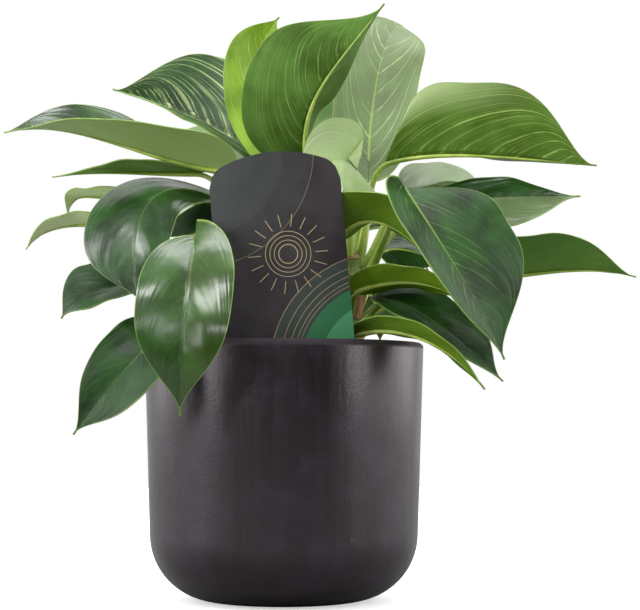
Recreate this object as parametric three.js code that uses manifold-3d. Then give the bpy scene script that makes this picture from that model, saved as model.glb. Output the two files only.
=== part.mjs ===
// A potted philodendron: a charcoal ceramic cover pot with a nursery pot of peat inside it, two short
// stems that carry heart-shaped leaves on long stalks, and a plant tag stuck in the peat.
// Millimetres, +Z up. The origin is the centre of the pot's underside, and -Y is the front.

import * as THREE from "three";
import { mergeVertices } from "three/addons/utils/BufferGeometryUtils.js";
import Module from "manifold-3d";

const wasm = await Module();
wasm.setup();

// ---- Driving dimensions ----

const FIT = 0.3; // gap left where two pieces touch

const COVER_RIM_RADIUS = 70;
const COVER_FOOT_RADIUS = 67; // where the wall meets the rounded foot
const COVER_HEIGHT = 128;
const COVER_WALL = 5;
const COVER_FLOOR = 6;
const COVER_CORNER = 33; // radius of the rounded foot
const COVER_FACETS = 48;

const NURSERY_RIM_RADIUS = 60;
const NURSERY_FOOT_RADIUS = 40;
const NURSERY_HEIGHT = 110;
const NURSERY_WALL = 1.2;
const NURSERY_FLARE = 8; // height of the thicker band under the rim
const NURSERY_FACETS = 40;
const DRAIN_COUNT = 6;
const DRAIN_RADIUS = 4;
const DRAIN_CIRCLE = 22;

const PEAT_DEPTH = 98; // from the nursery pot's floor to the peat's surface
const PEAT_RINGS = 5;
const PEAT_SECTORS = 28;
const PEAT_RELIEF = 1.6;
const STEM_SUNK = 26; // how far a stem stands in the peat

const STEM_SIDES = 12;
const STEM_STEPS = 11;
const STEM_RING_PITCH = 9; // distance between old leaf scars
const STALK_SINK = 2.6; // how far a leaf stalk's foot sits inside the stem
const STALK_SIDES = 6;
const STALK_STEPS = 4;
const STALK_FOOT_RADIUS = 2.9;
const STALK_END_RADIUS = 1.7;

const BLADE_THICKNESS = 0.8;
const BLADE_ROWS = [0, 0.05, 0.13, 0.25, 0.4, 0.55, 0.7, 0.83, 0.93, 1];
const BLADE_COLUMNS = [-1, -0.55, 0, 0.55, 1];
const BLADE_LEAST_HALF = 0.9;
const RIB_DEPTH = 1.3; // how far the midrib stands out under the blade's base

const TAG_THICKNESS = 0.9;
const TAG_WIDTH = 64;
const TAG_BOTTOM = 70; // height of the stake's point
const TAG_SHOULDER = 124; // height where the stake widens into the card
const TAG_SIDE_TOP = 210;
const TAG_CROWN = 8; // rise of the arched top
const TAG_STAKE_WIDTH = 18;
const TAG_BEND_RADIUS = 95;
const TAG_LEAN = THREE.MathUtils.degToRad(4); // forward
const TAG_TURN = THREE.MathUtils.degToRad(5); // in its own plane
const TAG_FOOT = new THREE.Vector3(8, -45.5, TAG_BOTTOM);

// ---- Materials ----

const materials = {
  cover: new THREE.MeshStandardMaterial({ color: 0x37343a, roughness: 0.55, metalness: 0 }),
  nursery: new THREE.MeshStandardMaterial({ color: 0x1c1b1a, roughness: 0.6, metalness: 0 }),
  peat: new THREE.MeshStandardMaterial({ color: 0x2e2018, roughness: 1, metalness: 0 }),
  stem: new THREE.MeshStandardMaterial({ color: 0x6f8a3c, roughness: 0.6, metalness: 0 }),
  lime: new THREE.MeshStandardMaterial({ color: 0x9cc03a, roughness: 0.45, metalness: 0 }),
  fresh: new THREE.MeshStandardMaterial({ color: 0x6a9a3a, roughness: 0.45, metalness: 0 }),
  dark: new THREE.MeshStandardMaterial({ color: 0x2f6238, roughness: 0.35, metalness: 0 }),
  card: new THREE.MeshStandardMaterial({ color: 0x2c2a2c, roughness: 0.5, metalness: 0 }),
};

// ---- Solids ----

// A closed solid lofted through rings of points, with a flat cap at each end. Quads from column
// mirrorFrom on are split along their other diagonal, so that the two faces of a blade match.
function loft(rings, mirrorFrom = Infinity) {
  const count = rings[0].length;
  const positions = rings.flat().flatMap((p) => p.toArray());
  const index = [];
  for (let i = 0; i + 1 < rings.length; i++) {
    for (let j = 0; j < count; j++) {
      const next = (j + 1) % count;
      const [a, b] = [i * count + j, i * count + next];
      const [c, d] = [a + count, b + count];
      if (j < mirrorFrom) index.push(a, b, d, a, d, c);
      else index.push(a, b, c, b, d, c);
    }
  }
  const last = (rings.length - 1) * count;
  for (let j = 1; j + 1 < count; j++) {
    index.push(0, j + 1, j);
    index.push(last, last + j, last + j + 1);
  }
  const geometry = new THREE.BufferGeometry();
  geometry.setAttribute("position", new THREE.Float32BufferAttribute(positions, 3));
  geometry.setIndex(index);
  return geometry;
}

function solidOf(geometry) {
  const bare = geometry.clone();
  bare.deleteAttribute("normal");
  bare.deleteAttribute("uv");
  const merged = mergeVertices(bare, 1e-3);
  return new wasm.Manifold(
    new wasm.Mesh({
      numProp: 3,
      vertProperties: new Float32Array(merged.attributes.position.array),
      triVerts: new Uint32Array(merged.index.array),
    }),
  );
}

function geometryOf(solid) {
  const mesh = solid.getMesh();
  const geometry = new THREE.BufferGeometry();
  geometry.setAttribute("position", new THREE.BufferAttribute(mesh.vertProperties, 3));
  geometry.setIndex(new THREE.BufferAttribute(mesh.triVerts, 1));
  geometry.computeVertexNormals();
  return geometry;
}

// A solid of revolution about Z. The profile is [radius, height] pairs, from the axis under the
// piece, up its outside and back to the axis.
function turned(profile, facets) {
  const points = profile.map(([radius, height]) => new THREE.Vector2(radius, height));
  return new THREE.LatheGeometry(points, facets).rotateX(Math.PI / 2);
}

function arc(centreRadius, centreHeight, radius, from, to, steps) {
  return Array.from({ length: steps + 1 }, (_, i) => {
    const angle = THREE.MathUtils.degToRad(from + ((to - from) * i) / steps);
    return [centreRadius + radius * Math.cos(angle), centreHeight + radius * Math.sin(angle)];
  });
}

// A tapered tube along a curve: radiusAt gives its radius at a share of the curve's length.
function tube(curve, radiusAt, sides, steps) {
  const frames = curve.computeFrenetFrames(steps, false);
  const rings = Array.from({ length: steps + 1 }, (_, i) => {
    const centre = curve.getPointAt(i / steps);
    return Array.from({ length: sides }, (_, j) => {
      const angle = (2 * Math.PI * j) / sides;
      return centre
        .clone()
        .addScaledVector(frames.normals[i], radiusAt(i / steps) * Math.cos(angle))
        .addScaledVector(frames.binormals[i], radiusAt(i / steps) * Math.sin(angle));
    });
  });
  return loft(rings);
}

// ---- Pots and peat ----

function coverPot() {
  const inner = COVER_CORNER - COVER_WALL;
  const foot = COVER_FOOT_RADIUS - COVER_CORNER;
  const outside = arc(foot, COVER_CORNER, COVER_CORNER, -90, 0, 9);
  const halfWall = COVER_WALL / 2;
  const lip = arc(COVER_RIM_RADIUS - halfWall, COVER_HEIGHT - halfWall, halfWall, 0, 180, 4);
  const inside = arc(foot, COVER_FLOOR + inner, inner, 0, -90, 6);
  return turned([[0, 0], ...outside, ...lip, ...inside, [0, COVER_FLOOR]], COVER_FACETS);
}

const nurseryFloor = COVER_FLOOR + FIT + 1;

function nurseryPot() {
  const rim = nurseryFloor + NURSERY_HEIGHT;
  const flare = rim - NURSERY_FLARE;
  const outer = NURSERY_RIM_RADIUS;
  const wall = NURSERY_WALL;
  const profile = [
    [0, nurseryFloor],
    [NURSERY_FOOT_RADIUS - 6, nurseryFloor],
    [NURSERY_FOOT_RADIUS, nurseryFloor + 7],
    [outer - 3, flare],
    [outer - 1, flare],
    [outer, rim],
    [outer - wall, rim],
    [outer - 1 - wall, flare + wall],
    [outer - 3 - wall, flare + wall],
    [NURSERY_FOOT_RADIUS - wall, nurseryFloor + 7],
    [NURSERY_FOOT_RADIUS - 6 - wall, nurseryFloor + wall],
    [0, nurseryFloor + wall],
  ];
  let pot = solidOf(turned(profile, NURSERY_FACETS));
  for (let i = 0; i < DRAIN_COUNT; i++) {
    const angle = (2 * Math.PI * i) / DRAIN_COUNT;
    const drain = new THREE.CylinderGeometry(DRAIN_RADIUS, DRAIN_RADIUS, 6, 12)
      .rotateX(Math.PI / 2)
      .translate(DRAIN_CIRCLE * Math.cos(angle), DRAIN_CIRCLE * Math.sin(angle), nurseryFloor);
    pot = pot.subtract(solidOf(drain));
  }
  return pot;
}

const peatBottom = nurseryFloor + NURSERY_WALL + FIT;
const peatTop = peatBottom + PEAT_DEPTH;

// Inside radius of the nursery pot at a height, less the fitting gap.
function peatRadius(height) {
  const low = nurseryFloor + 7;
  const high = nurseryFloor + NURSERY_HEIGHT - NURSERY_FLARE;
  const share = (height - low) / (high - low);
  const outer = NURSERY_FOOT_RADIUS + (NURSERY_RIM_RADIUS - 3 - NURSERY_FOOT_RADIUS) * share;
  return outer - NURSERY_WALL - 2 * FIT;
}

// The crumbs of the peat's surface, as a sum of waves that don't line up.
function peatHeight(x, y) {
  const crumbs = Math.sin(x * 0.41 + 1.3 * Math.sin(y * 0.23)) * Math.cos(y * 0.37 - 0.8);
  const lumps = Math.sin(x * 0.83 - y * 0.61) * Math.cos(x * 0.29 + y * 0.97);
  const mound = 1 - Math.hypot(x, y) / NURSERY_RIM_RADIUS;
  return peatTop + PEAT_RELIEF * (0.6 * crumbs + 0.5 * lumps) + 3 * mound;
}

function peatBall() {
  const top = peatRadius(peatTop - PEAT_RELIEF);
  const rings = [
    [6, peatBottom],
    [NURSERY_FOOT_RADIUS - 9, peatBottom],
    [peatRadius(peatBottom + 7), peatBottom + 7],
  ];
  const ringAt = ([radius, height]) => circle(radius, (x, y) => height);
  const surface = Array.from({ length: PEAT_RINGS }, (_, i) =>
    circle(top * (1 - i / PEAT_RINGS) ** 0.9, (x, y) => peatHeight(x, y)),
  );
  return solidOf(loft([...rings.map(ringAt), ...surface]));
}

function circle(radius, heightAt) {
  return Array.from({ length: PEAT_SECTORS }, (_, j) => {
    const angle = (2 * Math.PI * j) / PEAT_SECTORS;
    const [x, y] = [radius * Math.cos(angle), radius * Math.sin(angle)];
    return new THREE.Vector3(x, y, heightAt(x, y));
  });
}

// ---- Stems ----

const stemLow = peatTop - STEM_SUNK;
const stems = {
  right: { foot: [27, 3], top: [32, 0, 177], radius: 8.5 },
  left: { foot: [-16, 6], top: [-14, 2, 177], radius: 8.5 },
  back: { foot: [8, 30], top: [7, 32, 175], radius: 8 },
};

function stemCentre(stem, height) {
  const share = (height - stemLow) / (stem.top[2] - stemLow);
  return new THREE.Vector3(
    stem.foot[0] + (stem.top[0] - stem.foot[0]) * share,
    stem.foot[1] + (stem.top[1] - stem.foot[1]) * share,
    height,
  );
}

function stemSolid(stem, grow = 0) {
  const low = stemCentre(stem, stemLow - grow);
  const line = new THREE.LineCurve3(low, new THREE.Vector3(...stem.top));
  const length = line.getLength();
  const radiusAt = (share) => {
    const scars = 0.05 * Math.cos((2 * Math.PI * share * length) / STEM_RING_PITCH);
    const crown = share > 0.93 ? 0.72 : 1;
    return stem.radius * crown * (1 + scars) + grow;
  };
  return solidOf(tube(line, radiusAt, STEM_SIDES, STEM_STEPS));
}

// ---- Leaves ----

// The cubic curve that passes through four points at even steps.
function throughPoints([a, b, c, d]) {
  const mix = (p, q, r, s) =>
    new THREE.Vector3()
      .addScaledVector(a, p / 6)
      .addScaledVector(b, q / 6)
      .addScaledVector(c, r / 6)
      .addScaledVector(d, s / 6);
  return new THREE.CubicBezierCurve3(a, mix(-5, 18, -9, 2), mix(2, -9, 18, -5), d);
}

// Share of the full half-width at a share t of the blade's length: a round base that widens
// quickly, and a drawn-out tip.
function outline(leaf, t) {
  if (t < leaf.widest) return Math.sqrt(1 - (1 - t / leaf.widest) ** leaf.roundness);
  const s = (t - leaf.widest) / (1 - leaf.widest);
  return 0.5 * (1 + Math.cos(Math.PI * s ** leaf.fullness));
}

// The axes of a blade at t: along the midrib, to its right, and out of its upper face.
function bladeAxes(leaf, curve, t) {
  const along = curve.getTangent(t).normalize();
  const face = leaf.faceBase.clone().lerp(leaf.faceTip, t);
  const up = face.addScaledVector(along, -face.dot(along)).normalize();
  return { along, up, right: along.clone().cross(up) };
}

// A point of the blade: t runs along the midrib, v from -1 at the left margin to 1 at the right
// one, and lift is the height above the middle of its thickness.
function bladePoint(leaf, curve, length, t, v, lift) {
  const { along, up, right } = bladeAxes(leaf, curve, t);
  const side = v < 0 ? 0 : 1;
  const across = Math.abs(v);
  const share = outline(leaf, t);
  const width = Math.max(leaf.half[side] * share, BLADE_LEAST_HALF);
  const fold = THREE.MathUtils.degToRad(leaf.fold[side]);
  const curl = THREE.MathUtils.degToRad(leaf.curl[side]) || 1e-4;
  const angle = fold + curl * across;
  const sideways = (width * (Math.sin(angle) - Math.sin(fold))) / curl;
  const rise = (width * (Math.cos(fold) - Math.cos(angle))) / curl;
  const lobe = leaf.lobe[side] * length * across ** 2 * Math.max(0, 1 - t / leaf.widest) ** 2;
  const sign = side ? 1 : -1;
  return curve
    .getPoint(t)
    .addScaledVector(right, sign * (sideways - lift * Math.sin(angle)))
    .addScaledVector(up, rise + lift * Math.cos(angle))
    .addScaledVector(along, -lobe);
}

function bladeSolid(leaf) {
  const curve = throughPoints(leaf.rib);
  const length = curve.getLength();
  const half = BLADE_THICKNESS / 2;
  const rings = BLADE_ROWS.map((t) => {
    const upper = BLADE_COLUMNS.map((v) => bladePoint(leaf, curve, length, t, v, half));
    const lower = BLADE_COLUMNS.map((v) => {
      const rib = v === 0 ? RIB_DEPTH * (1 - t) : 0;
      return bladePoint(leaf, curve, length, t, v, -half - rib);
    });
    return [...upper, ...lower.reverse()];
  });
  return solidOf(loft(rings, BLADE_COLUMNS.length));
}

// The stalk runs from inside the stem, up and out, and ends under the blade's midrib.
function stalkCurve(leaf) {
  const stem = stems[leaf.stem];
  const blade = throughPoints(leaf.rib);
  const { along, up } = bladeAxes(leaf, blade, 0.04);
  const end = blade.getPoint(0.04).addScaledVector(up, -STALK_END_RADIUS * 0.6);
  const centre = stemCentre(stem, leaf.node);
  const outward = new THREE.Vector3(end.x - centre.x, end.y - centre.y, 0)
    .normalize()
    .applyAxisAngle(new THREE.Vector3(0, 0, 1), THREE.MathUtils.degToRad(leaf.turn));
  const foot = centre.clone().addScaledVector(outward, stem.radius - STALK_SINK);
  const reach = foot.distanceTo(end);
  const spread = leaf.spread ?? 0.25 + 0.025 * (stem.top[2] - 5 - leaf.node);
  const rise = outward.clone().multiplyScalar(spread).add(new THREE.Vector3(0, 0, 1)).normalize();
  return new THREE.CubicBezierCurve3(
    foot,
    foot.clone().addScaledVector(rise, leaf.rise * reach),
    end.clone().addScaledVector(along, -leaf.bend * reach),
    end,
  );
}

function stalkSolid(leaf, grow = 0) {
  const radiusAt = (share) => {
    const sheath = STALK_FOOT_RADIUS - STALK_END_RADIUS;
    return STALK_END_RADIUS + sheath * (1 - share) ** 2 + grow;
  };
  return solidOf(tube(stalkCurve(leaf), radiusAt, STALK_SIDES, STALK_STEPS));
}

// One entry per leaf. stem and node: the stem it grows on, and how high its stalk's foot is.
// rib: four points of its midrib, from the stalk to the tip. face: where its upper side looks, at
// the base and at the tip. half: width of its left and right half. fold: how far each half is
// folded up at the midrib, and curl: how far its margin bends further up (or, negative, down).
// lobe: how far each base lobe reaches back, as a share of the length. widest: where along the
// blade it is widest, roundness: how quickly it widens from the stalk to there, and fullness: how
// slowly it narrows from there to the tip. turn, spread, rise and bend steer the stalk: its foot's
// turn about the stem in degrees, how far it leans out as it leaves the stem, and how long it
// keeps each end's direction.
const leafDefaults = {
  curl: [0, 0],
  lobe: [0.13, 0.13],
  widest: 0.32,
  roundness: 2.4,
  fullness: 1.7,
  turn: 0,
  rise: 0.4,
  bend: 0.3,
};

const leafTable = [
  {
    name: "leaf_crown_tall", tone: "fresh", stem: "left", node: 170,
    rib: [[10, -20, 219], [13, -28, 242], [26, -30, 264], [50, -22, 296]],
    face: [[-7, 7, 1], [-6, 7, 2]], half: [26, 36], fold: [35, 35], curl: [0, 10],
    widest: 0.45, fullness: 1.6, lobe: [0.05, 0.05],
  },
  {
    name: "leaf_crown_lime", tone: "lime", stem: "left", node: 165,
    rib: [[-2, 2, 220], [-14, 8, 247], [-15, 10, 273], [-3, 8, 296]],
    face: [[3, -9, 2], [3, -9, 2]], half: [18, 19], fold: [15, 15],
    fullness: 3.2,
    turn: 45,
  },
  {
    name: "leaf_crown_back", tone: "dark", stem: "right", node: 170,
    rib: [[43, 12, 222], [46, 28, 256], [53, 44, 288], [63, 66, 304]],
    face: [[1, -9, 3], [1, -9, 4]], half: [21, 22], fold: [8, 8], curl: [0, -5],
    widest: 0.34, fullness: 3.5, roundness: 3,
  },
  {
    name: "leaf_right_high", tone: "fresh", stem: "right", node: 168,
    rib: [[51, -6, 219], [83, -12, 222], [120, -12, 220], [157, -8, 217]],
    face: [[0, 3, 9], [0, 3, 9]], half: [28, 37], fold: [25, 50], curl: [0, 15],
    widest: 0.46, fullness: 1.5, lobe: [0, -0.15], roundness: 3.2,
  },
  {
    name: "leaf_left_high", tone: "dark", stem: "left", node: 171,
    rib: [[-14, 12, 223], [-37, 22, 241], [-63, 26, 253], [-90, 22, 261]],
    face: [[2, -5, 8], [2, -5, 8]], half: [28, 38], fold: [22, 40],
    widest: 0.38,
  },
  {
    name: "leaf_left_long", tone: "dark", stem: "left", node: 168,
    rib: [[-28, -22, 212.5], [-64, -26, 220], [-102, -24, 231], [-139, -18, 232]],
    face: [[0, 5, 8], [0, -8, 8]], half: [21, 23], fold: [35, 30],
    widest: 0.45, lobe: [0.05, 0.05], roundness: 4,
  },
  {
    name: "leaf_left_level", tone: "dark", stem: "left", node: 163,
    rib: [[-44, 24, 218], [-70, 26, 218], [-94, 26, 218], [-121, 22, 215]],
    face: [[0, 0, 1], [0, 0, 1]], half: [16, 15], fold: [15, 26],
  },
  {
    name: "leaf_front_left", tone: "dark", stem: "left", node: 159,
    rib: [[-36, -24, 200], [-62, -41, 197], [-69, -59, 173], [-66, -66, 144]],
    face: [[0, -3, 9], [-3, -9, 1]], half: [16, 28], fold: [-14, 5], curl: [-10, -15],
    widest: 0.4, fullness: 2.1, spread: 1.1, turn: 10, lobe: [0.38, 0.13],
  },
  {
    name: "leaf_front_droop", tone: "dark", stem: "left", node: 149,
    rib: [[-41, -68, 172], [-42, -90, 149], [-44, -98, 123], [-45, -93, 92]],
    face: [[0, -6, 8], [0, -1, 0]], half: [21, 23], fold: [15, 15], curl: [-20, -20],
    fullness: 2,
    bend: 0.1, turn: -15, lobe: [0.24, 0.08],
  },
  {
    name: "leaf_left_low", tone: "dark", stem: "left", node: 135,
    rib: [[-56, -46, 134], [-67, -58, 121], [-82, -62, 103], [-98, -57, 83]],
    face: [[-2, -9, 4], [-2, -9, 2]], half: [18, 18], fold: [10, 10],
    fullness: 2,
    bend: 0.1,
  },
  {
    name: "leaf_left_small", tone: "dark", stem: "left", node: 128,
    rib: [[-71, -20, 158], [-83, -28, 154], [-97, -32, 149], [-108, -30, 139]],
    face: [[-1, -6, 7], [-1, -6, 7]], half: [13, 20], fold: [10, 15],
    widest: 0.45,
  },
  {
    name: "leaf_left_pale", tone: "fresh", stem: "left", node: 141,
    rib: [[-86, 2, 187], [-103, 6, 189], [-120, 8, 186], [-132, 8, 176]],
    face: [[0, 1, 9], [0, 1, 9]], half: [13, 13], fold: [15, 15], turn: 8,
  },
  {
    name: "leaf_left_hook", tone: "fresh", stem: "left", node: 147,
    rib: [[-84, 30, 207], [-99, 36, 207], [-111, 40, 206], [-115, 40, 194]],
    face: [[0, 1, 9], [-8, 1, 3]], half: [13, 13], fold: [15, 15], turn: -6,
  },
  {
    name: "leaf_centre_heart", tone: "fresh", stem: "right", node: 172,
    rib: [[36, -26, 212.5], [27, -29, 216], [17, -29, 211], [10, -26, 197]],
    face: [[1, -9, 3], [1, -9, 3]], half: [19, 23], fold: [15, 5],
    lobe: [0.45, -0.2],
    bend: 0.1, spread: 0.15, rise: 0.5, widest: 0.3, roundness: 2.6, fullness: 1,
  },
  {
    name: "leaf_centre_olive", tone: "fresh", stem: "right", node: 160,
    rib: [[28, -28, 179], [40, -38, 186], [55, -44, 181], [72, -48, 165]],
    face: [[0, 4, 9], [0, 4, 9]], half: [10, 20], fold: [20, 20],
    lobe: [0.05, 0.05],
  },
  {
    name: "leaf_front_right", tone: "dark", stem: "right", node: 149,
    rib: [[59, -44, 201], [71, -60, 179], [87, -68, 151], [104, -66, 118]],
    face: [[3, -8, 5], [3, -8, 4]], half: [39, 18], fold: [5, 20],
    fullness: 2.2, lobe: [0, 0.1],
    bend: 0.1, turn: 20, roundness: 2.4,
  },
  {
    name: "leaf_right_grey", tone: "dark", stem: "right", node: 162,
    rib: [[66, 18, 209], [80, 22, 211], [95, 26, 209], [108, 28, 203]],
    face: [[0, -4, 9], [0, -4, 9]], half: [24, 18], fold: [15, 20], spread: 0.9, turn: -5,
  },
  {
    name: "leaf_right_mid", tone: "dark", stem: "right", node: 155,
    rib: [[74, -10, 197], [98, -14, 199], [122, -16, 200], [148, -12, 201]],
    face: [[0, -7, 7], [0, -6, 8]], half: [15, 24], fold: [10, 0],
    spread: 0.5, rise: 0.4,
  },
  {
    name: "leaf_right_low", tone: "dark", stem: "right", node: 137,
    rib: [[92, 6, 160], [122, 8, 163.5], [151, 8, 165.5], [179, 8, 162]],
    face: [[0, 0, 1], [0, 0, 1]], half: [18, 22], fold: [25, 62], lobe: [0.05, 0],
  },
  {
    name: "leaf_right_shaded", tone: "dark", stem: "right", node: 132,
    rib: [[52, -18, 149], [69, -32, 140], [87, -44, 125], [105, -50, 108]],
    face: [[0, -4, 8], [2, -4, 8]], half: [18, 15], fold: [20, 10],
    fullness: 2,
  },
  {
    name: "leaf_right_foot", tone: "fresh", stem: "right", node: 126,
    rib: [[38, -34, 132], [57, -50, 131.5], [77, -60, 122], [95, -64, 104]],
    face: [[0, 3, 9], [2, 3, 7]], half: [12, 10], fold: [10, 20],
  },
  {
    name: "leaf_right_olive", tone: "fresh", stem: "right", node: 142,
    rib: [[37, -20, 154], [54, -28, 157], [71, -34, 155], [87, -36, 147]],
    face: [[0, 4, 9], [0, 4, 9]], half: [12, 12], fold: [10, 20],
  },
  {
    name: "leaf_right_gloss", tone: "dark", stem: "right", node: 144,
    rib: [[51, 12, 176], [60, 15, 177], [70, 16, 174], [79, 16, 167]],
    face: [[0, -3, 9], [3, -3, 9]], half: [14, 18], fold: [10, -42],
  },
  {
    name: "leaf_right_under", tone: "dark", stem: "right", node: 129,
    rib: [[48, 6, 141], [58, 12, 143], [70, 18, 141], [84, 20, 134]],
    face: [[0, -3, 9], [3, -3, 9]], half: [14, 14], fold: [10, 10],
  },
  {
    name: "leaf_left_under", tone: "dark", stem: "left", node: 154,
    rib: [[-34, -7, 200], [-45, -8, 197], [-56, -9, 189], [-66, -9, 178]],
    face: [[0, 0, 9], [0, 0, 9]], half: [21, 12], fold: [-45, 0],
    turn: -25,
  },
  {
    name: "leaf_back_high", tone: "fresh", stem: "back", node: 170,
    rib: [[10, 42, 226], [9, 56, 246], [10, 70, 262], [14, 86, 272]],
    face: [[0, -6, 8], [0, -3, 8]], half: [22, 22], fold: [20, 20],
  },
  {
    name: "leaf_back_centre", tone: "dark", stem: "back", node: 161,
    rib: [[2, 58, 205], [0, 84, 208], [-2, 108, 196], [-4, 126, 172]],
    face: [[0, -2, 9], [0, 5, 6]], half: [28, 28], fold: [15, 15], spread: 0.9,
  },
  {
    name: "leaf_back_left", tone: "fresh", stem: "back", node: 156,
    rib: [[-16, 46, 220], [-30, 56, 238], [-48, 66, 245], [-70, 76, 243]],
    face: [[0, -5, 8], [0, -3, 8]], half: [20, 20], fold: [10, 10], turn: 15,
  },
  {
    name: "leaf_back_right", tone: "dark", stem: "back", node: 160,
    rib: [[38, 50, 190], [54, 66, 194], [68, 82, 188], [78, 94, 172]],
    face: [[0, -1, 9], [3, 4, 7]], half: [22, 22], fold: [15, 15],
  },
  {
    name: "leaf_back_lower", tone: "dark", stem: "back", node: 150,
    rib: [[-10, 66, 168], [-16, 88, 166], [-20, 106, 152], [-22, 116, 130]],
    face: [[0, 1, 9], [0, 7, 4]], half: [24, 24], fold: [12, 12],
  },
  {
    name: "leaf_back_side", tone: "fresh", stem: "back", node: 145,
    rib: [[34, 62, 160], [44, 82, 160], [50, 100, 150], [52, 112, 132]],
    face: [[0, 1, 9], [1, 7, 4]], half: [20, 20], fold: [12, 12],
  },
  {
    name: "leaf_back_foot", tone: "dark", stem: "back", node: 137,
    rib: [[10, 70, 140], [10, 88, 136], [8, 100, 122], [6, 106, 102]],
    face: [[0, 3, 9], [0, 9, 2]], half: [20, 20], fold: [10, 10],
  },
  {
    name: "leaf_left_rear", tone: "dark", stem: "back", node: 144,
    rib: [[-40, 40, 172], [-56, 48, 174], [-72, 56, 170], [-86, 60, 160]],
    face: [[0, -1, 9], [-2, 0, 9]], half: [20, 20], fold: [15, 15],
  },
];

const leaves = leafTable.map((entry) => ({
  ...leafDefaults,
  ...entry,
  rib: entry.rib.map((p) => new THREE.Vector3(...p)),
  faceBase: new THREE.Vector3(...entry.face[0]),
  faceTip: new THREE.Vector3(...entry.face[1]),
}));

// ---- Plant tag ----

// A pointed stake that widens into a card with an arched top, bent a little about a vertical line.
function tagSolid(grow = 0) {
  const side = TAG_WIDTH / 2;
  const stake = TAG_STAKE_WIDTH / 2 + grow;
  const low = -grow;
  const shoulder = TAG_SHOULDER - TAG_BOTTOM;
  const top = TAG_SIDE_TOP - TAG_BOTTOM;
  const shape = new THREE.Shape();
  shape.moveTo(0, low);
  shape.lineTo(stake, low + 16);
  shape.lineTo(stake, shoulder - 6);
  shape.lineTo(side, shoulder);
  shape.lineTo(side, top);
  shape.quadraticCurveTo(0, top + 2 * TAG_CROWN, -side, top);
  shape.lineTo(-side, shoulder);
  shape.lineTo(-stake, shoulder - 6);
  shape.lineTo(-stake, low + 16);
  shape.closePath();
  const depth = TAG_THICKNESS + 2 * grow;
  const flat = new THREE.ExtrudeGeometry(shape, { depth, bevelEnabled: false, curveSegments: 12 })
    .translate(0, 0, -depth / 2)
    .rotateX(Math.PI / 2);
  const bent = solidOf(flat).refineToLength(16).warp((p) => {
    const angle = p[0] / TAG_BEND_RADIUS;
    const radius = TAG_BEND_RADIUS - p[1];
    p[0] = radius * Math.sin(angle);
    p[1] = TAG_BEND_RADIUS - radius * Math.cos(angle);
  });
  const placed = geometryOf(bent)
    .rotateY(-TAG_TURN)
    .rotateX(TAG_LEAN)
    .translate(...TAG_FOOT.toArray());
  return solidOf(placed);
}

// ---- Assembly ----

const plant = new THREE.Group();

function add(name, material, geometry) {
  const mesh = new THREE.Mesh(geometry, materials[material]);
  mesh.name = name;
  plant.add(mesh);
}

add("cover_pot", "cover", coverPot());
add("nursery_pot", "nursery", geometryOf(nurseryPot()));

let peat = peatBall();
for (const [side, stem] of Object.entries(stems)) {
  let wood = stemSolid(stem);
  for (const leaf of leaves.filter((l) => l.stem === side)) {
    wood = wood.subtract(stalkSolid(leaf, FIT));
  }
  peat = peat.subtract(stemSolid(stem, FIT));
  add(`stem_${side}`, "stem", geometryOf(wood));
}
add("peat", "peat", geometryOf(peat.subtract(tagSolid(FIT))));

for (const leaf of leaves) {
  add(leaf.name, leaf.tone, geometryOf(bladeSolid(leaf).add(stalkSolid(leaf))));
}

add("plant_tag", "card", geometryOf(tagSolid()));

export default plant;
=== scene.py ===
"""A potted philodendron: a charcoal ceramic cover pot with a nursery pot of peat in it, three
short stems with striped heart-shaped leaves on long stalks, and a printed tag stuck in the peat.
Metres, +Z up. The origin is the centre of the pot's underside, and -Y is the front."""

import math
import random

import bpy
from bpy.props import FloatProperty, FloatVectorProperty, IntProperty, PointerProperty
from mathutils import Matrix, Vector


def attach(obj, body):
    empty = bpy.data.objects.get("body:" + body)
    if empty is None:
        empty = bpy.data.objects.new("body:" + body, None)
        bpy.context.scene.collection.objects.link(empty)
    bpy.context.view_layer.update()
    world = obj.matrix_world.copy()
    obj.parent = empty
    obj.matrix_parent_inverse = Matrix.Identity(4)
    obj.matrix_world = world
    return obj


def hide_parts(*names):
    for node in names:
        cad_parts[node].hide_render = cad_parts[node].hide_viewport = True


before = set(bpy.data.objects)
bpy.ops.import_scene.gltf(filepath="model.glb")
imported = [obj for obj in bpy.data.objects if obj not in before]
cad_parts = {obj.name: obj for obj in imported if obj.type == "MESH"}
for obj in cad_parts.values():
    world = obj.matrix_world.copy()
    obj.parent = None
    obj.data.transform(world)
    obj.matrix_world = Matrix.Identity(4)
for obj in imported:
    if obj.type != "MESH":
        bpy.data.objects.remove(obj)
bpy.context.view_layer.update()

bl_info = {
    "name": "Potted Philodendron",
    "version": (1, 0, 0),
    "blender": (4, 5, 0),
    "location": "3D View > Sidebar > Philodendron",
    "description": "Builds a striped philodendron in a ceramic cover pot, with its plant tag",
    "category": "Add Mesh",
}

MM = 0.001

# ---- Heights and radii that several pieces share, in millimetres ----

COVER_FLOOR = 6.0
FIT = 0.3
NURSERY_FLOOR = COVER_FLOOR + FIT + 1.0
NURSERY_WALL = 1.2
NURSERY_TALL = 110.0
NURSERY_FOOT_RADIUS = 40.0
NURSERY_RIM_RADIUS = 60.0
NURSERY_HEEL = 7.0
NURSERY_COLLAR = 8.0
COLLAR_FLARE = 3.0
PEAT_BOTTOM = NURSERY_FLOOR + NURSERY_WALL + FIT
PEAT_TOP = PEAT_BOTTOM + 98.0
STEM_LOW = PEAT_TOP - 26.0
STALK_SINK = 2.6

STEMS = {
    "right": {"foot": (27, 3), "top": (32, 0, 177), "radius": 8.5},
    "left": {"foot": (-16, 6), "top": (-14, 2, 177), "radius": 8.5},
    "back": {"foot": (8, 30), "top": (7, 32, 175), "radius": 8.0},
}

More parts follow.
